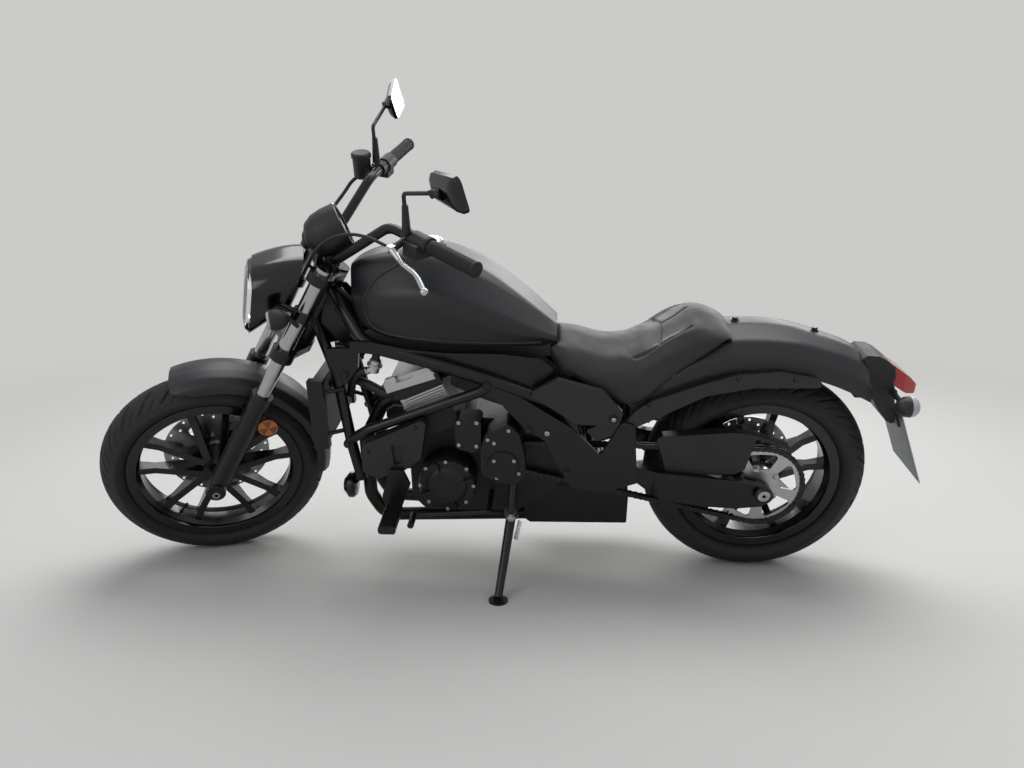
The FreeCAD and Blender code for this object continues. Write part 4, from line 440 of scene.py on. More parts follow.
# %% [markdown]
# ## Rubber and vinyl
# Tyres and grips are rubber filled with carbon black. It scatters light evenly, and the sidewall of a
# used tyre is greyed by dust that sticks where it flexes. The seat is foam under black vinyl, a soft
# plastic pressed with a leather grain: its highlights are broad, and its cells are about 2 mm, drawn here
# at 2.5 mm.

# %% Rubber and vinyl
DUST = ("clouds", 55.0, 5.0, 0.6)
TYRE = finish("vulcanised_tyre_rubber", ("#111112", "#1A1A1B", DUST), (0.62, 0.8, DUST),
              (0.1, 0.4, ("clouds", 1.4)), IOR=1.52)
RUBBER = finish("moulded_grip_rubber", "#151516", 0.6, (0.08, 0.4, ("clouds", 1.6)), IOR=1.5)
VINYL = finish("grained_seat_vinyl", ("#1C1D1F", "#242527", ("clouds", 80.0, 3.0)),
               (0.46, 0.58, ("clouds", 30.0, 3.0)), (0.25, 0.5, ("hide", 2.5)),
               IOR=1.5, Sheen_Weight=0.08, Sheen_Roughness=0.5)
print("soft materials:", [material.name for material in (TYRE, RUBBER, VINYL)])


# %% [markdown]
# ## Lenses, glass and plate
# Lamp lenses are moulded polycarbonate, IOR 1.58, clear in front. The coloured ones and the reflectors
# are filled with their colour and have small facets behind, so they are drawn solid under a thin clear
# coat; every other reflector sector is drawn in a darker amber, as painted shade. The mirrors are
# silvered glass, which is simply a metal with almost no roughness. The plate is aluminium sheet with a
# white reflecting film on its face; its bare back is drawn in a darker, mottled grey as painted shade.

# %% Lenses, glass and plate
def solid_lens(name, colour):
    """A lens whose colour fills it, as a reflector's does."""
    return finish(name, colour, 0.2, (0.3, 0.6, ("facets", 4.0)), IOR=1.58, Coat_Weight=0.3,
                  Coat_Roughness=0.06)


CLEAR = finish("clear_polycarbonate", "#F4F6F7", 0.03, IOR=1.58, Transmission_Weight=1.0)
RED = solid_lens("red_polycarbonate", "#B10D12")
AMBER = solid_lens("amber_acrylic", "#B9600F")
AMBER_PAINTED_SHADE = solid_lens("amber_acrylic_in_shade", "#6F3508")
# A darker copy of the amber for every other reflector sector: painted shade.
SMOKED = solid_lens("smoked_polycarbonate", "#A9AEB3")
SILVERED = finish("silvered_mirror_glass", "#E4E6E8", 0.02, Metallic=1.0)
PLATE = finish("retroreflective_plate_sheet", ("#D9DADA", "#E3E4E4", ("clouds", 1.5)), 0.32, IOR=1.5)
PLATE_BACK_MOTTLE = ("clouds", 35.0, 4.0)
# The plate's bare aluminium back is drawn in a dark grey: painted shade.
PLATE_BACK_PAINTED_SHADE = finish("rolled_aluminium_sheet_painted_shade", ("#606468", "#74787B", PLATE_BACK_MOTTLE), (0.42, 0.6, PLATE_BACK_MOTTLE),
                    Metallic=0.8)
print("lenses:", [material.name for material in (CLEAR, RED, AMBER, AMBER_PAINTED_SHADE, SMOKED)])


# %% [markdown]
# ## The dial and the radiator core
# The dial is black acrylic with grey display segments. The radiator's core is aluminium sheet folded
# into fins 1.4 mm apart, painted black; at this distance they would blur to an even grey, so they are
# drawn 3 mm apart, as bands of black and a lighter grey: the grey is a painted highlight on the fin
# edges, the black painted shade between them.

# %% Dial and core
FIN_PITCH = 3.0
WAVE_BANDS_PER_UNIT = 3.14
FOLDS = ("folds", FIN_PITCH * WAVE_BANDS_PER_UNIT)
# Bands of black and lighter grey across the core: painted highlights on the fin edges, painted shade between them.
FIN_CORE_PAINTED_LIGHT = finish("folded_fin_core_painted_light", ("#101112", "#3A3B3D", FOLDS), 0.5, (0.8, 1.0, FOLDS), Metallic=0.4)
DIAL_BLACK = finish("black_dial_acrylic", ("#0A0B0C", "#0E0F10", ("clouds", 30.0, 3.0)), 0.12, IOR=1.49)
DISPLAY = finish("liquid_crystal_display", ("#8E9694", "#A2AAA8", ("clouds", 2.0, 3.0)), 0.25, IOR=1.5)
print("finishes in all:", len(bpy.data.materials))


# %% [markdown]
# ## Which piece has which finish
# One table from a finish to the pieces that were made with it. A solid keeps its shape, and only its
# material slot is filled.

# %% Give every solid its finish
FINISHES = (
    (MATT, ("fuel_tank", "front_fender", "rear_fender", "side_covers", "lower_cowl", "fender_rails")),
    (LACQUER, ("front_rim", "rear_rim")),
    (POWDER, ("frame", "swingarm", "fork_sliders", "lower_yoke", "upper_yoke", "handlebar", "side_stand",
              "stand_bracket", "foot_pegs", "foot_controls", "radiator", "rear_shock", "silencer")),
    (CAST, ("engine_case", "engine_cylinders", "engine_covers", "sprocket_cover", "front_caliper",
            "rear_caliper")),
    (GLOSS, ("headlight_shell", "horn", "mirror_heads")),
    (PLASTIC, ("meter_pod", "switch_housings", "chain_guard", "tail_housing", "mirror_stems",
               "front_indicators", "rear_indicators", "air_box")),
    (CHROME, ("fork_stanchions",)),
    (POLISHED, ("levers",)),
    (BLASTED, ("head_cover", "cylinder_fins")),
    (ZINC, ("front_axle", "rear_axle", "fuel_cap")),
    (SILVERED, ("mirror_glass",)),
    (FRONT_STEEL, ("front_disc",)),
    (REAR_STEEL, ("rear_disc",)),
    (SPROCKET_STEEL, ("rear_sprocket",)),
    (EXHAUST, ("header_pipes",)),
    (CHAIN_STEEL, ("chain",)),
    (TYRE, ("front_tyre", "rear_tyre")),
    (RUBBER, ("grips", "control_cables", "coolant_hose")),
    (VINYL, ("seat",)),
    (CLEAR, ("headlight_lens",)),
    (RED, ("tail_lens",)),
    (PLATE, ("number_plate",)),
)


def dress(made, material):
    """Puts one material on the whole piece."""
    made.data.materials.clear()
    made.data.materials.append(material)
    for polygon in made.data.polygons:
        polygon.material_index = 0


dressed = set()
for material, node_names in FINISHES:
    for node_name in node_names:
        dress(nodes[node_name], material)
        dressed.add(node_name)
print("pieces without a finish:", sorted(set(nodes) - dressed))


# %% [markdown]
# ## Smooth shading with crisp edges
# The solids come as flat triangles. Their shared corners are welded and their faces smoothed, so that
# round tubes shine evenly, and the faces are split apart again along every edge that turns sharply, so
# that cut edges stay crisp. Both are modifiers, which leave the solids themselves as they came.

# %% Smooth faces, crisp edges
CRISP_ANGLE = math.radians(32)
WELD_DISTANCE = 0.00001
for node in nodes.values():
    weld = node.modifiers.new("weld", "WELD")
    weld.merge_threshold = WELD_DISTANCE
    crisp = node.modifiers.new("crisp_edges", "EDGE_SPLIT")
    crisp.split_angle = CRISP_ANGLE
    node.data.shade_smooth()
print("edges stay crisp above", round(math.degrees(CRISP_ANGLE)), "degrees")


# %% [markdown]
# ## Tyres
# A tyre is moulded in one piece with its tread. The tread here is a common road pattern: slanting
# grooves that start beside the middle, where the rubber must stay whole for braking, and run out to
# the shoulders, with a short cut between each pair. This function says how deep the rubber is cut at
# any place.

# %% Tread
GROOVE_DEPTH = 4.0
GROOVE_HALF_WIDTH = 2.6
GROOVES = (
    # where it begins and ends, as shares of the tread; its shift round the wheel; its share of full size
    (0.09, 0.90, 0.0, 1.0),
    (0.52, 0.97, 0.5, 0.7),
)
GROOVE_LEAN = 0.85
GROOVE_CURL = 220
GROOVE_SLANT = 0.68


def groove(across, around, pitch, reach):
    """How deep the tread is cut at a place, in mm; cuts fade over 3 to 5 mm at their ends."""
    out = abs(across)
    other_side = 0.5 if across > 0 else 0.0
    deepest = 0.0
    for begin, end, shift, share in GROOVES:
        line = GROOVE_LEAN * out + out * out / GROOVE_CURL + (shift + other_side) * pitch
        distance = abs((around - line + pitch / 2) % pitch - pitch / 2) * GROOVE_SLANT
        ends = min(1.0, max(0.0, (out - begin * reach) / 3), max(0.0, (end * reach - out) / 5))
        wall = min(1.0, max(0.0, (share * GROOVE_HALF_WIDTH + 0.9 - distance) / 1.5))
        deepest = max(deepest, share * GROOVE_DEPTH * ends * wall)
    return deepest


# %% [markdown]
# ## The tyre's section
# The crown is one arc and each wall another, through the tyre's widest place down to the rim. Two raised
# ribs run round each wall. The section is carried round the wheel, with every point of its crown
# sunk where a groove passes.

# %% Tyres
TYRES = (
    # wheel, centre, radius, width, radius of the crown, of the wall's foot, half width there, bead, grooves
    ("front", FRONT_WHEEL_CENTRE, 312.5, 120.0, 61.0, 243.6, 39.7, 228.9, 26),
    ("rear", REAR_WHEEL_CENTRE, 312.0, 160.0, 82.0, 231.0, 52.7, 216.3, 24),
)
TREAD_HALF_ANGLE = math.radians(62)
WALL_RIB_HEIGHT = 0.9
WALL_RIBS = (3, 4, 11, 13)
CROWN_STEPS = 46
WALL_STEPS = 16
SECTIONS_PER_GROOVE = 24


def arc_through(first, middle_point, last, steps):
    """Points of the circle arc through three points in a plane, without its first point."""
    (ax, ay), (bx, by), (cx, cy) = first, middle_point, last
    d = 2 * (ax * (by - cy) + bx * (cy - ay) + cx * (ay - by))
    ux = ((ax**2 + ay**2) * (by - cy) + (bx**2 + by**2) * (cy - ay) + (cx**2 + cy**2) * (ay - by)) / d
    uy = ((ax**2 + ay**2) * (cx - bx) + (bx**2 + by**2) * (ax - cx) + (cx**2 + cy**2) * (bx - ax)) / d
    start = math.atan2(ay - uy, ax - ux)
    sweep = math.atan2(cy - uy, cx - ux) - start
    sweep = (sweep + math.pi) % (2 * math.pi) - math.pi
    reach = math.hypot(ax - ux, ay - uy)
    angles = [start + sweep * i / steps for i in range(1, steps + 1)]
    return [(ux + reach * math.cos(angle), uy + reach * math.sin(angle)) for angle in angles]


def tyre_section(radius, width, crown, foot, foot_y, bead, pitch, around):
    """One section of the tyre as (distance across, radius), with its grooves sunk in."""
    section = []
    for i in range(CROWN_STEPS + 1):
        angle = TREAD_HALF_ANGLE * (2 * i / CROWN_STEPS - 1)
        sunk = crown - groove(crown * angle, around, pitch, crown * TREAD_HALF_ANGLE)
        section.append((sunk * math.sin(angle), radius - crown + sunk * math.cos(angle)))
    edge_y = crown * math.sin(TREAD_HALF_ANGLE)
    edge_r = radius - crown + crown * math.cos(TREAD_HALF_ANGLE)
    wall = arc_through((edge_y, edge_r), (width / 2, (edge_r + foot) / 2), (foot_y, foot), WALL_STEPS)
    wall = [(y if i in WALL_RIBS or i == WALL_STEPS - 1 else y - WALL_RIB_HEIGHT, r)
            for i, (y, r) in enumerate(wall)]
    right = wall + [(foot_y, bead)]
    return section + right + [(-y, r) for y, r in reversed(right)]


def tyre(name, centre, radius, width, crown, foot, foot_y, bead, grooves):
    mesh = bmesh.new()
    pitch = 2 * math.pi * radius / grooves
    count = SECTIONS_PER_GROOVE * grooves
    rings = []
    for i in range(count):
        angle = 2 * math.pi * i / count
        out = Vector((math.cos(angle), 0, math.sin(angle)))
        section = tyre_section(radius, width, crown, foot, foot_y, bead, pitch, radius * angle)
        rings.append([Vector(centre) + Vector((0, y, 0)) + out * r for y, r in section])
    skin(mesh, rings, loop=True)
    made = piece(name + "_tyre_with_tread", mesh, name + "_wheel", TYRE)
    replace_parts(made, name + "_tyre")


for values in TYRES:
    tyre(*values)


# %% [markdown]
# ## The seat's cover
# The seat is foam on a plastic base, under a cover sewn from panels. The sides are one panel each, the
# pan another, and the front of the raised back is dished to hold the rider, with a seam down its
# middle that forks above the pan. The seams are lines in plan, and the dish is a depth at each place.

# %% Seams and dish
MIDDLE_SEAM = ((562, 0), (497, 0))
FORK_SEAM = ((497, 0), (493, 60), (484, 107))
SIDE_SEAM = ((566, 92), (548, 100), (520, 106), (484, 107), (455, 109), (425, 108))
DISH_DEPTH = 26.0
DISH = (440.0, 490.0, 520.0, 580.0)
DISH_HALF_WIDTH = 108.0


def mirrored(path):
    """The same line on the other side."""
    return tuple((x, -y) for x, y in path)


SEAMS = (MIDDLE_SEAM, FORK_SEAM, SIDE_SEAM, mirrored(FORK_SEAM), mirrored(SIDE_SEAM))


def seam_distance(x, y):
    """How far a place in plan is from the nearest seam, in mm."""
    place = Vector((x, y))
    nearest = math.inf
    for path in SEAMS:
        for start, end in zip(path, path[1:]):
            start = Vector(start)
            line = Vector(end) - start
            share = min(1.0, max(0.0, (place - start).dot(line) / line.dot(line)))
            nearest = min(nearest, (place - start - line * share).length)
    return nearest


def dish(x, y):
    """How far the front of the raised back is hollowed, in mm."""
    begin, full, fade, end = DISH
    rise = min(1.0, max(0.0, (x - begin) / (full - begin)), max(0.0, (end - x) / (end - fade)))
    rise = rise * rise * (3 - 2 * rise)
    return DISH_DEPTH * rise * max(0.0, 1 - abs(y / DISH_HALF_WIDTH) ** 5)


print("seam lines:", len(SEAMS))


# %% [markdown]
# ## The foam under the cover
# The solid gives the seat's outline. It is remeshed into even faces, softened, hollowed by the dish and
# made a little smaller, to leave room for the foam to swell.

# %% Seat, remeshed and dished
SEAT_VOXEL = 0.0065
SOFTENING = 8
SEAT_SHRINK = 2.0
SEAM_HELD = 7.0
FACES_UP = 0.1
FACES_DOWN = -0.3
FROM_ROOM = CHASSIS.inverted()


def frozen(made):
    """Replaces a piece's mesh by what its modifiers make of it."""
    graph = bpy.context.evaluated_depsgraph_get()
    graph.update()
    data = bpy.data.meshes.new_from_object(made.evaluated_get(graph))
    made.modifiers.clear()
    made.data = data


def surface(made):
    """Each vertex, its place in the machine's millimetres, its outward way and how much it faces up."""
    ways = [vertex.normal.copy() for vertex in made.data.vertices]
    turn = FROM_ROOM.to_3x3()
    return [(vertex, FROM_ROOM @ vertex.co, way, (turn @ way).normalized().z)
            for vertex, way in zip(made.data.vertices, ways)]


seat = bpy.data.objects.new("stitched_seat", nodes["seat"].data.copy())
bpy.context.scene.collection.objects.link(seat)
remesh = seat.modifiers.new("even_mesh", "REMESH")
remesh.mode = "VOXEL"
remesh.voxel_size = SEAT_VOXEL
seat.modifiers.new("softened", "SMOOTH").iterations = SOFTENING
frozen(seat)
held = seat.vertex_groups.new(name="held")
for vertex, place, way, facing in surface(seat):
    place.z -= dish(place.x, place.y) * min(1.0, max(0.0, 3 * facing))
    near_seam = facing > FACES_UP and seam_distance(place.x, place.y) < SEAM_HELD
    held.add([vertex.index], 1.0 if near_seam or facing < FACES_DOWN else 0.0, "REPLACE")
    vertex.co = CHASSIS @ place - way * SEAT_SHRINK * MILLIMETRE
print("seat remeshed to", len(seat.data.vertices), "points")


# %% [markdown]
# ## Swelling the foam
# The cover is blown up as cloth under pressure, with its seams and its base held. No point may move
# further than the foam would let it. Two more modifiers even the mesh and make it finer.

# %% Seat, swollen
FOAM_PRESSURE = 4
FOAM_STEPS = 20
SEAT_SWELL = 1.8
EVENING = 12
before = [vertex.co.copy() for vertex in seat.data.vertices]
cloth = seat.modifiers.new("foam", "CLOTH")
cloth.settings.quality = 4
cloth.settings.use_pressure = True
cloth.settings.uniform_pressure_force = FOAM_PRESSURE
cloth.settings.vertex_group_mass = "held"
cloth.settings.effector_weights.gravity = 0
for step in range(1, FOAM_STEPS + 1):
    bpy.context.scene.frame_set(step)
frozen(seat)
bpy.context.scene.frame_set(1)
for vertex, start in zip(seat.data.vertices, before):
    moved = vertex.co - start
    if moved.length > SEAT_SWELL * MILLIMETRE:
        vertex.co = start + moved.normalized() * SEAT_SWELL * MILLIMETRE
seat.modifiers.new("evened", "SMOOTH").iterations = EVENING
finer = seat.modifiers.new("finer", "SUBSURF")
finer.levels = 1
finer.render_levels = 1
frozen(seat)
print("seat faces:", len(seat.data.polygons))


# %% [markdown]
# ## Pressing the seams in
# Thread pulls the cover into the foam along each seam, in a round groove. The finished cover takes the
# place of the plain solid seat.

# %% Seat, sewn
SEAM_DEPTH = 4.5
SEAM_HALF_WIDTH = 3.4
for vertex, place, way, facing in surface(seat):
    if facing > FACES_UP:
        pressed = SEAM_DEPTH * math.exp(-(seam_distance(place.x, place.y) / SEAM_HALF_WIDTH) ** 2)
        vertex.co -= way * pressed * MILLIMETRE
dress(seat, VINYL)
seat.data.shade_smooth()
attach(seat, "chassis")
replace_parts(seat, "seat")
print("seat slot:", seat.data.materials[0].name)


# %% [markdown]
# ## Screws and bolts
# Engine covers are held by socket screws, plates and pivots by hexagon bolts with a flange. Each is
# placed where it is seen from the side, and a ray sent across the machine finds the surface it is
# screwed into, so that no head floats or sinks. They are zinc plated, or black on the chassis.

# %% Screws
SOCKET_SCREW = ((-2, 1.0), (0, 1.0), (0.78, 1.0), (0.9, 0.88), (0.9, 0.5, "hexagon"),
                (0.4, 0.5, "hexagon"), (0.4, 0.02))
FLANGE_BOLT = ((-2, 1.5), (0.0, 1.5), (0.22, 1.42), (0.3, 1.0, "hexagon"), (1.0, 1.0, "hexagon"),
               (1.12, 0.86), (1.12, 0.02))
BUTTON = ((-2, 1.0), (0.1, 1.0), (0.5, 0.82), (0.72, 0.5), (0.8, 0.02))
CUP_WASHER = ((-2, 1.0), (0.12, 1.0), (0.16, 0.9), (0.05, 0.7), (0.05, 0.02))
SCREWS = (
    # node, sides, head, size, finish, places (x, z) in side view
    ("engine_covers", LEFT, SOCKET_SCREW, 5.5, "zinc", ((-38, 523), (10, 523), (8, 453), (-40, 456))),
    ("engine_covers", LEFT, SOCKET_SCREW, 5.0, "zinc",
     ((-77, 408), (-21, 386), (-3, 334), (-25, 282), (-133, 386), (-151, 334), (-129, 282), (-77, 260))),
    ("engine_covers", RIGHT, SOCKET_SCREW, 5.0, "zinc",
     ((-60, 431), (0, 408), (20, 351), (0, 294), (-120, 408), (-140, 351), (-120, 294), (-60, 271), (80, 312),
      (50, 266))),
    ("sprocket_cover", LEFT, SOCKET_SCREW, 5.0, "zinc",
     ((56, 419), (110, 420), (57, 470), (62, 364), (122, 378), (96, 508), (40, 480))),
    ("frame", LEFT, SOCKET_SCREW, 7.0, "zinc", ((198, 496),)),
    ("frame", BOTH, FLANGE_BOLT, 8.0, "black", ((149, 505), (250, 375), (42, 632), (-345, 640), (-349, 444))),
    ("side_covers", BOTH, CUP_WASHER, 14.0, "black", ((372, 543),)),
    ("side_covers", BOTH, SOCKET_SCREW, 6.0, "zinc", ((372, 543),)),
    ("stand_bracket", LEFT, FLANGE_BOLT, 8.0, "zinc", ((100, 240),)),
    ("fender_rails", BOTH, BUTTON, 7.0, "black", ((687, 655), (830, 655), (463, 580))),
    ("lower_cowl", BOTH, BUTTON, 6.0, "black", ((-150, 520), (-282, 448))),
    ("swingarm", BOTH, FLANGE_BOLT, 11.0, "black", ((330, 385),)),
)
FAR_OUT = 400.0


def landing(node, start, way):
    """Where a line from start meets a node, in the machine's millimetres, or nothing."""
    matrix = FRAME_OF_BODY[BODY_OF_NODE[node]]
    room_start = matrix @ Vector(start)
    room_way = (matrix.to_3x3() @ Vector(way)).normalized()
    hit, place, normal, face = nodes[node].ray_cast(room_start, room_way)
    return matrix.inverted() @ place if hit else None


def screw(mesh, place, side, head, size):
    """Adds a screw's head, whose profile is drawn for a radius of 1."""
    turned(mesh, place, (0, side, 0), [(row[0] * size, row[1] * size, *row[2:]) for row in head], 24)


screws = {"zinc": bmesh.new(), "black": bmesh.new()}
for node_name, sides, head, size, plating, places in SCREWS:
    for side in sides:
        for x, z in places:
            under_head = landing(node_name, (x, side * FAR_OUT, z), (0, -side, 0))
            if under_head:
                screw(screws[plating], under_head, side, head, size)
            else:
                print("no surface of", node_name, "at", x, z)
piece("zinc_plated_screws", screws["zinc"], "chassis", ZINC)
piece("black_bolts", screws["black"], "chassis", POWDER)


# %% [markdown]
# ## Wheel and brake fasteners
# The sprocket is held to its hub by bolts between the windows, and each disc by a ring of button
# screws. They turn with their wheel, so they ride on it, and so does the valve in each rim.

# %% Wheel fasteners
HUB_BOLTS = (
    # name, body, wheel centre, across from the middle, side, radius of their circle, first angle, head, size
    ("sprocket_bolts", "rear_wheel", REAR_WHEEL_CENTRE, -101.0, -1, 51.0, 37.0, FLANGE_BOLT, 6.0),
    ("rear_disc_bolts", "rear_wheel", REAR_WHEEL_CENTRE, 84.5, 1, 48.0, 20.0, BUTTON, 7.0),
    ("front_disc_bolts", "front_wheel", FRONT_WHEEL_CENTRE, 66.5, 1, 58.0, 20.0, BUTTON, 7.0),
)
BOLTS_PER_HUB = 5
VALVE = ((0, 5.5), (3, 5.5), (4, 3.2), (22, 3.2), (22, 4.2), (32, 4.2), (33, 3.0))
VALVE_ANGLE = 230.0
VALVES = (("front_wheel", FRONT_WHEEL_CENTRE, 208.0), ("rear_wheel", REAR_WHEEL_CENTRE, 195.0))


def spoke_way(degrees):
    """The way out from an axle at an angle in side view."""
    return Vector((math.cos(math.radians(degrees)), 0, math.sin(math.radians(degrees))))


for name, body, centre, across, side, circle_radius, first, head, size in HUB_BOLTS:
    mesh = bmesh.new()
    for i in range(BOLTS_PER_HUB):
        way = spoke_way(first + 360 * i / BOLTS_PER_HUB)
        screw(mesh, Vector((centre[0], across, centre[2])) + way * circle_radius, side, head, size)
    piece(name, mesh, body, ZINC)
for body, centre, rim_radius in VALVES:
    mesh = bmesh.new()
    way = spoke_way(VALVE_ANGLE)
    turned(mesh, Vector(centre) + way * rim_radius, -way, VALVE, 16)
    piece(body + "_valve", mesh, body, RUBBER)


# %% [markdown]
# ## Rear spring
# The rear spring lies down beside the wheel on the right: a wire coil between two cups, round a damper,
# which ends in an eye at each end. The wire is a bar bent along a coil's path.

# %% Rear spring and damper
SHOCK_FRONT = Vector((300, 152, 452))
SHOCK_REAR = Vector((560, 152, 392))
DAMPER = ((12, 13), (34, 13), (36, 26), (41, 26), (43, 22), (60, 22), (60, 9), (206, 9), (206, 22),
          (210, 26), (214, 26), (216, 14), (256, 14))
DAMPER_EYE = ((-10, 6), (-10, 17), (-8, 18), (14, 18), (16, 17), (16, 6))
SPRING_FROM, SPRING_TO = 45, 205
SPRING_RADIUS = 21.0
SPRING_TURNS = 8.5
SPRING_WIRE = 5.0
shock_way = (SHOCK_REAR - SHOCK_FRONT).normalized()
damper = bmesh.new()
turned(damper, SHOCK_FRONT, shock_way, DAMPER)
for end in (SHOCK_FRONT, SHOCK_REAR):
    turned_ring(damper, end, (0, 1, 0), DAMPER_EYE)
piece("rear_damper", damper, "chassis", POWDER)
spring = bmesh.new()
spring_ends = (SHOCK_FRONT + shock_way * SPRING_FROM, SHOCK_FRONT + shock_way * SPRING_TO)
bent_bar(spring, coil(*spring_ends, SPRING_RADIUS, SPRING_TURNS), SPRING_WIRE)
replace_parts(piece("rear_spring", spring, "chassis", POWDER), "rear_shock")


# %% [markdown]
# ## Grips
# Grips are rubber sleeves moulded with rings across them, so that a wet glove doesn't slip. The rings
# are 5 mm apart. A collar keeps the hand off the switches, and a weight closes the bar's end.

# %% Grips
BAR_END = Vector((-91.0, 425.0, 1074.0))
BAR_BEND = Vector((-238.0, 168.0, 1080.0))
GRIP_LENGTH = 150.0
RIB_PITCH = 5.0
grip_profile = [(-9, 16.5), (-8, 18.8), (-1, 18.8), (0, 16.8)]
for k in range(int((GRIP_LENGTH - 12) / RIB_PITCH)):
    start = 2 + k * RIB_PITCH
    grip_profile += [(start, 16.8), (start + 0.8, 18.0), (start + 3.4, 18.0), (start + 4.2, 16.8)]
grip_profile += [(144, 17.5), (144, 21.4), (145, 22), (149, 22), (150, 21.4)]
mesh = bmesh.new()
for side in BOTH:
    end = on_side(BAR_END, side)
    turned(mesh, end, on_side(BAR_BEND, side) - end, grip_profile, 40)
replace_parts(piece("ribbed_grips", mesh, "steering", RUBBER), "grips")


# %% [markdown]
# ## The dial
# The round instrument is a liquid crystal display behind a clear cover, with a printed ring of
# marks round it. It faces the rider, so the photograph's side only sees its rim.

# %% Dial
METER_FACE = Vector((-338.0, 0.0, 1022.0))
METER_WAY = Vector((0.93, 0.0, 0.36)).normalized()
ACROSS = Vector((0, 1, 0))
DIAL_RIM = ((-2, 54), (-2, 61.5), (3, 61.5), (5.5, 59), (5.5, 56), (3, 54))
DIAL_FACE = ((-1, 54), (0.6, 54), (0.8, 0.02))
DIAL_MARKS = 41
DIAL_SWEEP = 270
MARK_OUTER = 51
LONG_MARK = (7.0, 1.4, 0.5)
SHORT_MARK = (4.0, 0.8, 0.5)
DISPLAY_SIZE = (44, 30, 0.5)


def dial_turn(outward):
    """The turn of a block on the dial, whose length points outward."""
    return Matrix((outward, METER_WAY.cross(outward), METER_WAY)).transposed()


mesh = bmesh.new()
turned_ring(mesh, METER_FACE, METER_WAY, DIAL_RIM)
piece("dial_rim", mesh, "steering", GLOSS)
mesh = bmesh.new()
turned(mesh, METER_FACE, METER_WAY, DIAL_FACE, 48)
piece("dial_face", mesh, "steering", DIAL_BLACK)
mesh = bmesh.new()
for k in range(DIAL_MARKS):
    angle = math.radians(DIAL_SWEEP * (0.5 - k / (DIAL_MARKS - 1)) + 90)
    outward = ACROSS * math.cos(angle) - ACROSS.cross(METER_WAY) * math.sin(angle)
    size = SHORT_MARK if k % 5 else LONG_MARK
    slab(mesh, METER_FACE + METER_WAY + outward * (MARK_OUTER - size[0] / 2), size, dial_turn(outward))
slab(mesh, METER_FACE + METER_WAY * 0.9, DISPLAY_SIZE, dial_turn(ACROSS))
piece("dial_marks_and_display", mesh, "steering", DISPLAY)


# %% [markdown]
# ## Reflectors
# Amber reflectors are discs of moulded acrylic with corner cubes on the back, on a small bracket
# beside each fork leg. Their six sectors would catch the light in turn; here every other one is painted a
# darker amber instead, as painted shade.

# %% Reflectors
REFLECTOR = Vector((-614, 113, 502))
HOLDER = ((0, 26), (0.5, 28), (5, 28), (5.5, 27))
AMBER_DISC = ((5.2, 26.4), (7.0, 26.4), (8.0, 25.0))
ARM_OFFSET = Vector((-30, -3, 0))
ARM_SIZE = (62, 5, 22)
SECTORS = 6
SECTOR_RADIUS, SECTOR_BASE = 25, 8.0
PEAK_RADIUS, PEAK_HEIGHT = 13, 9.6


amber, amber_painted_shade, holders = bmesh.new(), bmesh.new(), bmesh.new()
for side in BOTH:
    centre = on_side(REFLECTOR, side)
    out = Vector((0, side, 0))
    turned(holders, centre, out, HOLDER, 40)
    slab(holders, centre + on_side(ARM_OFFSET, side), ARM_SIZE)
    turned(amber, centre, out, AMBER_DISC, 36)
    for k in range(SECTORS):
        first, middle_way, last = [spoke_way(360 * (k + share) / SECTORS) for share in (0, 0.5, 1)]
        base = centre + out * SECTOR_BASE
        peak = centre + middle_way * PEAK_RADIUS + out * PEAK_HEIGHT
        # Every other sector takes the darker amber: painted shade.
        sector = amber_painted_shade if k % 2 else amber
        corners = [sector.verts.new(point)
                   for point in (base, base + first * SECTOR_RADIUS, base + last * SECTOR_RADIUS, peak)]
        for a, b, c in ((0, 1, 3), (1, 2, 3), (2, 0, 3), (0, 2, 1)):
            sector.faces.new((corners[a], corners[b], corners[c]))
piece("reflector_holders", holders, "steering", PLASTIC)
piece("amber_reflectors", amber, "steering", AMBER)
piece("amber_reflector_sectors_painted_shade", amber_painted_shade, "steering", AMBER_PAINTED_SHADE)


# %% [markdown]
# ## Lamps and the radiator core
# Some solids are made of two materials on the real machine: the indicators have a lens on their outer
# end, the plate is white only on its face, and the radiator's frame holds a core of folded fins. Their
# faces are picked by where they are, and given their own finish.

# %% Faces with a second finish
def second_finish(node, material, picked):
    """Gives a second material to the faces whose place, in the machine's millimetres, is picked."""
    made = nodes[node]
    made.data.materials.append(material)
    to_machine = FRAME_OF_BODY[BODY_OF_NODE[node]].inverted()
    count = 0
    for polygon in made.data.polygons:
        if picked(to_machine @ polygon.center, (to_machine.to_3x3() @ polygon.normal).normalized()):
            polygon.material_index = len(made.data.materials) - 1
            count += 1
    print(node, "faces in", material.name + ":", count)


FRONT_LENS_FROM = -553
REAR_LENS_FROM = 1133
CORE_HALF_WIDTH = 134
second_finish("front_indicators", SMOKED, lambda place, normal: place.x < FRONT_LENS_FROM)
second_finish("rear_indicators", SMOKED, lambda place, normal: place.x > REAR_LENS_FROM)
# The back of the plate, facing forward, takes the darker grey: painted shade.
second_finish("number_plate", PLATE_BACK_PAINTED_SHADE, lambda place, normal: normal.x < -0.5)
# The core's faces take the banded finish, whose lighter bands are painted highlights.
second_finish("radiator", FIN_CORE_PAINTED_LIGHT, lambda place, normal: abs(place.y) < CORE_HALF_WIDTH and abs(normal.x) > 0.9)


# %% [markdown]
# ## Bosses, collars and the stand's spring
# Two low bosses hold the rear mudguard's top, a black collar surrounds each end of the rear axle, and a
# thin spring keeps the side stand where it was put.

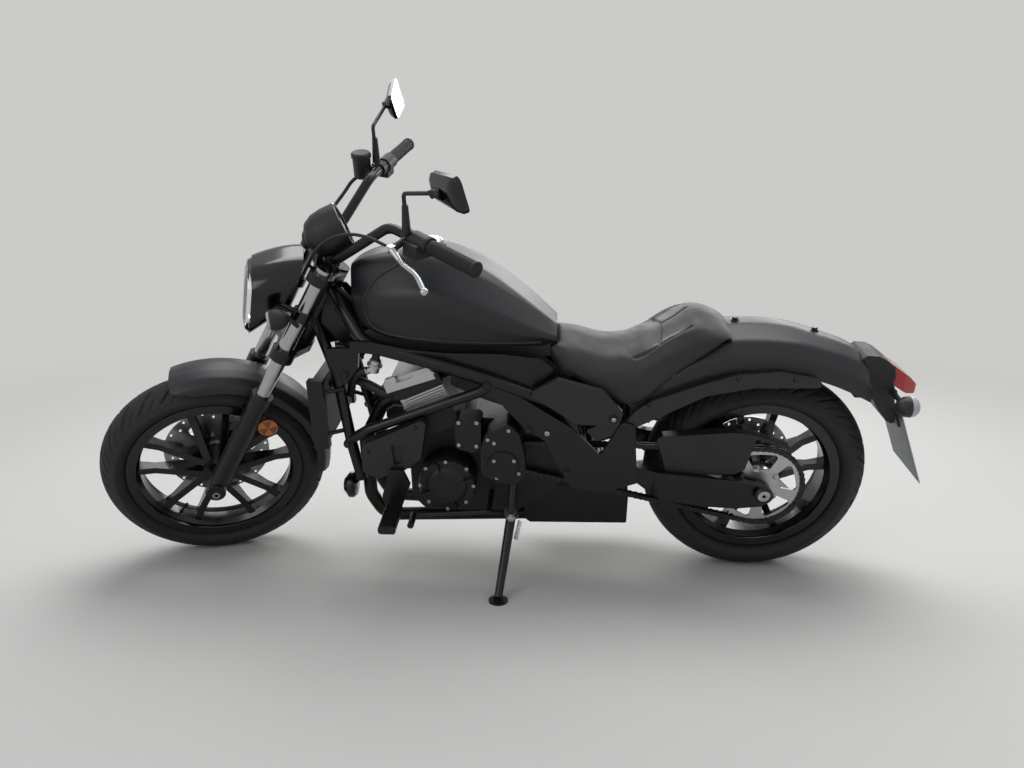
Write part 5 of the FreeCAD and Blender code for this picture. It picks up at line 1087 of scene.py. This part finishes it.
# %% Small fittings
BOSSES = ((695, 0), (907, 0))
BOSS = ((-3, 11), (2, 11), (3, 8), (8, 8), (9.5, 6.5), (9.5, 0.02))
COLLAR = ((-6, 17.5), (-6, 25), (5, 25), (9, 21), (9, 17.5))
COLLAR_PLACE = Vector((REAR_WHEEL_CENTRE[0], 150, REAR_WHEEL_CENTRE[2]))
STAND_SPRING_ENDS = ((124, -158, 220), (113, -194, 182))
mesh = bmesh.new()
for x, y in BOSSES:
    turned(mesh, landing("rear_fender", (x, y, 1000), (0, 0, -1)), (0, 0, 1), BOSS, 28)
piece("mudguard_bosses", mesh, "chassis", POWDER)
mesh = bmesh.new()
for side in BOTH:
    turned_ring(mesh, on_side(COLLAR_PLACE, side), (0, side, 0), COLLAR)
piece("rear_axle_collars", mesh, "chassis", POWDER)
mesh = bmesh.new()
bent_bar(mesh, coil(*STAND_SPRING_ENDS, 5.5, 9, 12), 1.4, 6)
piece("stand_return_spring", mesh, "side_stand", ZINC)


# %% [markdown]
# ## Sheet parts
# The head casting ends in a bare machined face on each side. Between the rear mudguard and its flat
# struts, an inner skirt of black plastic keeps the road water off the seat. Gusset plates are welded
# between the tubes behind the steering head, and a black trim closes the gap between the tank and the
# frame. All are flat parts, so each is an outline in side view with a thickness.

# %% Flat parts
HEAD_SIDE = ((-239, 622), (-207, 631), (-204, 625), (-164, 636), (-153, 648), (-123, 661), (-109, 660),
             (-97, 639), (-230, 594))
MUDGUARD_SKIRT = ((420, 530), (467, 573), (607, 627), (690, 650), (690, 668), (600, 664), (520, 648),
                  (440, 604), (418, 565))
HEAD_GUSSET = ((-396, 850), (-352, 858), (-322, 822), (-300, 762), (-330, 716), (-404, 700), (-418, 760))
TANK_TRIM = ((-292, 752), (-250, 775), (-80, 762), (180, 752), (205, 742), (205, 690), (60, 694),
             (-150, 704), (-292, 716))
FLAT_PARTS = (
    # name, outline in side view, its two faces across from the middle, finish, slot
    ("head_casting_sides", HEAD_SIDE, (100, 127), BLASTED, "alloy"),
    ("mudguard_skirts", MUDGUARD_SKIRT, (121, 126), PLASTIC, "black_plastic"),
    ("head_gussets", HEAD_GUSSET, (24, 28), POWDER, "frame_black"),
    ("tank_trims", TANK_TRIM, (84, 88), PLASTIC, "black_plastic"),
)
for name, outline, faces, material, slot in FLAT_PARTS:
    mesh = bmesh.new()
    for side in BOTH:
        skin(mesh, [[Vector((x, side * across, z)) for x, z in outline] for across in faces])
    piece(name, mesh, "chassis", material)


# %% [markdown]
# ## The tank's seam and the thermostat
# A tank is welded from pressed halves. The flange of the weld runs round its front and along its lower
# edge as a low bead. The bead's line is drawn in side view and laid on the tank by rays, as the screws
# are. In front of the engine's head, a cast thermostat housing joins two hoses.

# %% Seam and thermostat
TANK_SEAM = ((-178, 942), (-226, 915), (-262, 880), (-278, 840), (-276, 798), (-256, 768), (-205, 754),
             (-80, 748), (60, 741), (180, 734))
SEAM_BEAD_RADIUS = 3.6
THERMOSTAT = Vector((-272, -84, 640))
HOUSING = ((0, 15), (18, 15), (18, 21), (23, 21), (23, 16), (34, 16), (38, 12))
HOUSING_WAY = (0.25, 0, 0.97)
SPOUT = ((0, 10), (26, 10), (26, 12), (29, 12))
SPOUT_WAY = (-0.8, -0.3, -0.2)
SPOUT_OFFSET = Vector((6, 0, 10))
HOSE_RADIUS = 11
HOSES = (
    # each hose's bends, from the thermostat
    ((8, 0, 34), (14, 2, 60), (-30, 20, 72), (-74, 50, 60)),
    ((-14, -7, 6), (-44, -10, -2), (-62, 10, -30), (-76, 24, -80)),
)


def rounded_path(points, rounds=3):
    """Cuts the corners of a path until it runs smoothly."""
    points = [Vector(point) for point in points]
    for cut in range(rounds):
        pairs = [(a.lerp(b, 0.25), a.lerp(b, 0.75)) for a, b in zip(points, points[1:])]
        points = [points[0]] + [point for pair in pairs for point in pair] + [points[-1]]
    return points


mesh = bmesh.new()
for side in BOTH:
    line = [landing("fuel_tank", (point.x, side * FAR_OUT, point.y), (0, -side, 0))
            for point in rounded_path(TANK_SEAM)]
    bent_bar(mesh, [point for point in line if point], SEAM_BEAD_RADIUS, 8)
piece("tank_seam", mesh, "chassis", MATT)
mesh = bmesh.new()
turned(mesh, THERMOSTAT, HOUSING_WAY, HOUSING, 24)
turned(mesh, THERMOSTAT + SPOUT_OFFSET, SPOUT_WAY, SPOUT, 20)
piece("thermostat_housing", mesh, "chassis", BLASTED)
mesh = bmesh.new()
for bends in HOSES:
    bent_bar(mesh, [THERMOSTAT + point for point in rounded_path(bends)], HOSE_RADIUS, 14)
piece("thermostat_hoses", mesh, "chassis", RUBBER)


# %% [markdown]
# ## The studio
# A product is photographed in a cove: a floor that curves up into the walls, so that no line crosses
# behind it. This one goes all the way round, because the machine is looked at from every side. Far from
# the machine the paper has a fixed pale colour for the camera and for reflections, so that the backdrop
# is even. Near it, the floor is plain paper that takes its shadow.

# %% Floor and walls in one
COVE_RADIUS = 9.0
COVE_CURVE = 3.5
COVE_HEIGHT = 6.5
FLOOR_COLOUR = "#CDCDCB"
BACKDROP_COLOUR = "#CBCBC9"
PAPER_NEAR = 1.8
PAPER_FAR = 4.5
COVE_SIDES = 96
CURVE_STEPS = 12


def studio_paper():
    """Matt paper that turns to one even colour away from the machine."""
    material = finish("matt_studio_paper", FLOOR_COLOUR, 0.95, Specular_IOR_Level=0.1)
    tree = material.node_tree
    path = add_node(tree, "ShaderNodeLightPath").outputs
    seen = path["Is Camera Ray"]
    for ray in ("Is Glossy Ray", "Is Transmission Ray"):
        either = add_node(tree, "ShaderNodeMath", {"operation": "MAXIMUM"}, links={0: seen, 1: path[ray]})
        seen = either.outputs[0]
    point = add_node(tree, "ShaderNodeTexCoord").outputs["Object"]
    away = add_node(tree, "ShaderNodeVectorMath", {"operation": "LENGTH"}, links={0: point})
    far = add_node(tree, "ShaderNodeMapRange", {"interpolation_type": "SMOOTHSTEP"},
                   {"From Min": PAPER_NEAR, "From Max": PAPER_FAR}, {"Value": away.outputs["Value"]})
    share = add_node(tree, "ShaderNodeMath", {"operation": "MULTIPLY"},
                     links={0: seen, 1: far.outputs["Result"]})
    even = add_node(tree, "ShaderNodeEmission", values={"Color": linear(BACKDROP_COLOUR)})
    paper = tree.nodes["Principled BSDF"].outputs[0]
    mixed = add_node(tree, "ShaderNodeMixShader", links={0: share.outputs[0], 1: paper, 2: even.outputs[0]})
    tree.links.new(mixed.outputs[0], tree.nodes["Material Output"].inputs["Surface"])
    return material


def cove():
    """A round floor that curves up into a wall."""
    foot = COVE_RADIUS - COVE_CURVE
    profile = [(0.02, 0.0), (2.0, 0.0), (foot, 0.0)]
    for i in range(1, CURVE_STEPS + 1):
        angle = math.pi / 2 * i / CURVE_STEPS
        profile.append((foot + COVE_CURVE * math.sin(angle), COVE_CURVE * (1 - math.cos(angle))))
    profile.append((COVE_RADIUS, COVE_HEIGHT))
    mesh = bmesh.new()
    rows = [[mesh.verts.new(point)
             for point in circle(Vector((0, 0, height)), Matrix.Identity(3), reach, COVE_SIDES)]
            for reach, height in profile]
    for row, after in zip(rows, rows[1:]):
        for i in range(COVE_SIDES):
            j = (i + 1) % COVE_SIDES
            mesh.faces.new((row[i], row[j], after[j], after[i]))
    mesh.faces.new(rows[0])
    bmesh.ops.recalc_face_normals(mesh, faces=mesh.faces)
    data = bpy.data.meshes.new("cove")
    mesh.to_mesh(data)
    mesh.free()
    data.shade_smooth()
    data.materials.append(studio_paper())
    made = bpy.data.objects.new("cove", data)
    bpy.context.scene.collection.objects.link(made)
    print("cove faces:", len(data.polygons))


cove()


# %% [markdown]
# ## The light
# A black machine is lit by what it reflects, so the lamps are large and weak: one overhead, one beside
# the camera and a long strip behind that draws the upper edges. A bright even room does the rest.

# %% Light
def soft_lamp(name, place, target, size, watts):
    """A rectangular area lamp that faces its target."""
    data = bpy.data.lights.new(name, "AREA")
    data.shape = "RECTANGLE"
    data.size, data.size_y = size
    data.energy = watts
    lamp = bpy.data.objects.new(name, data)
    lamp.location = place
    lamp.rotation_euler = (Vector(target) - Vector(place)).to_track_quat("-Z", "Y").to_euler()
    bpy.context.scene.collection.objects.link(lamp)


LAMPS = (
    # name, place, target, width and height, watts
    ("overhead", (0.3, 0.9, 3.4), (0.0, 0.0, 0.5), (4.6, 1.6), 80),
    ("front_left", (-2.8, -3.4, 2.4), (-0.2, 0.0, 0.5), (2.4, 2.0), 30),
    ("back_strip", (0.8, 3.4, 2.2), (0.0, 0.0, 0.7), (5.0, 0.6), 60),
)
ROOM_COLOUR = "#E9EAEC"
ROOM_STRENGTH = 0.75
for lamp_values in LAMPS:
    soft_lamp(*lamp_values)
world = bpy.data.worlds.new("studio")
bpy.context.scene.world = world
world.use_nodes = True
background = world.node_tree.nodes["Background"]
background.inputs["Color"].default_value = linear(ROOM_COLOUR)
background.inputs["Strength"].default_value = ROOM_STRENGTH
bpy.context.scene.view_settings.view_transform = "Standard"
print("lamps:", [name for name, *others in LAMPS])
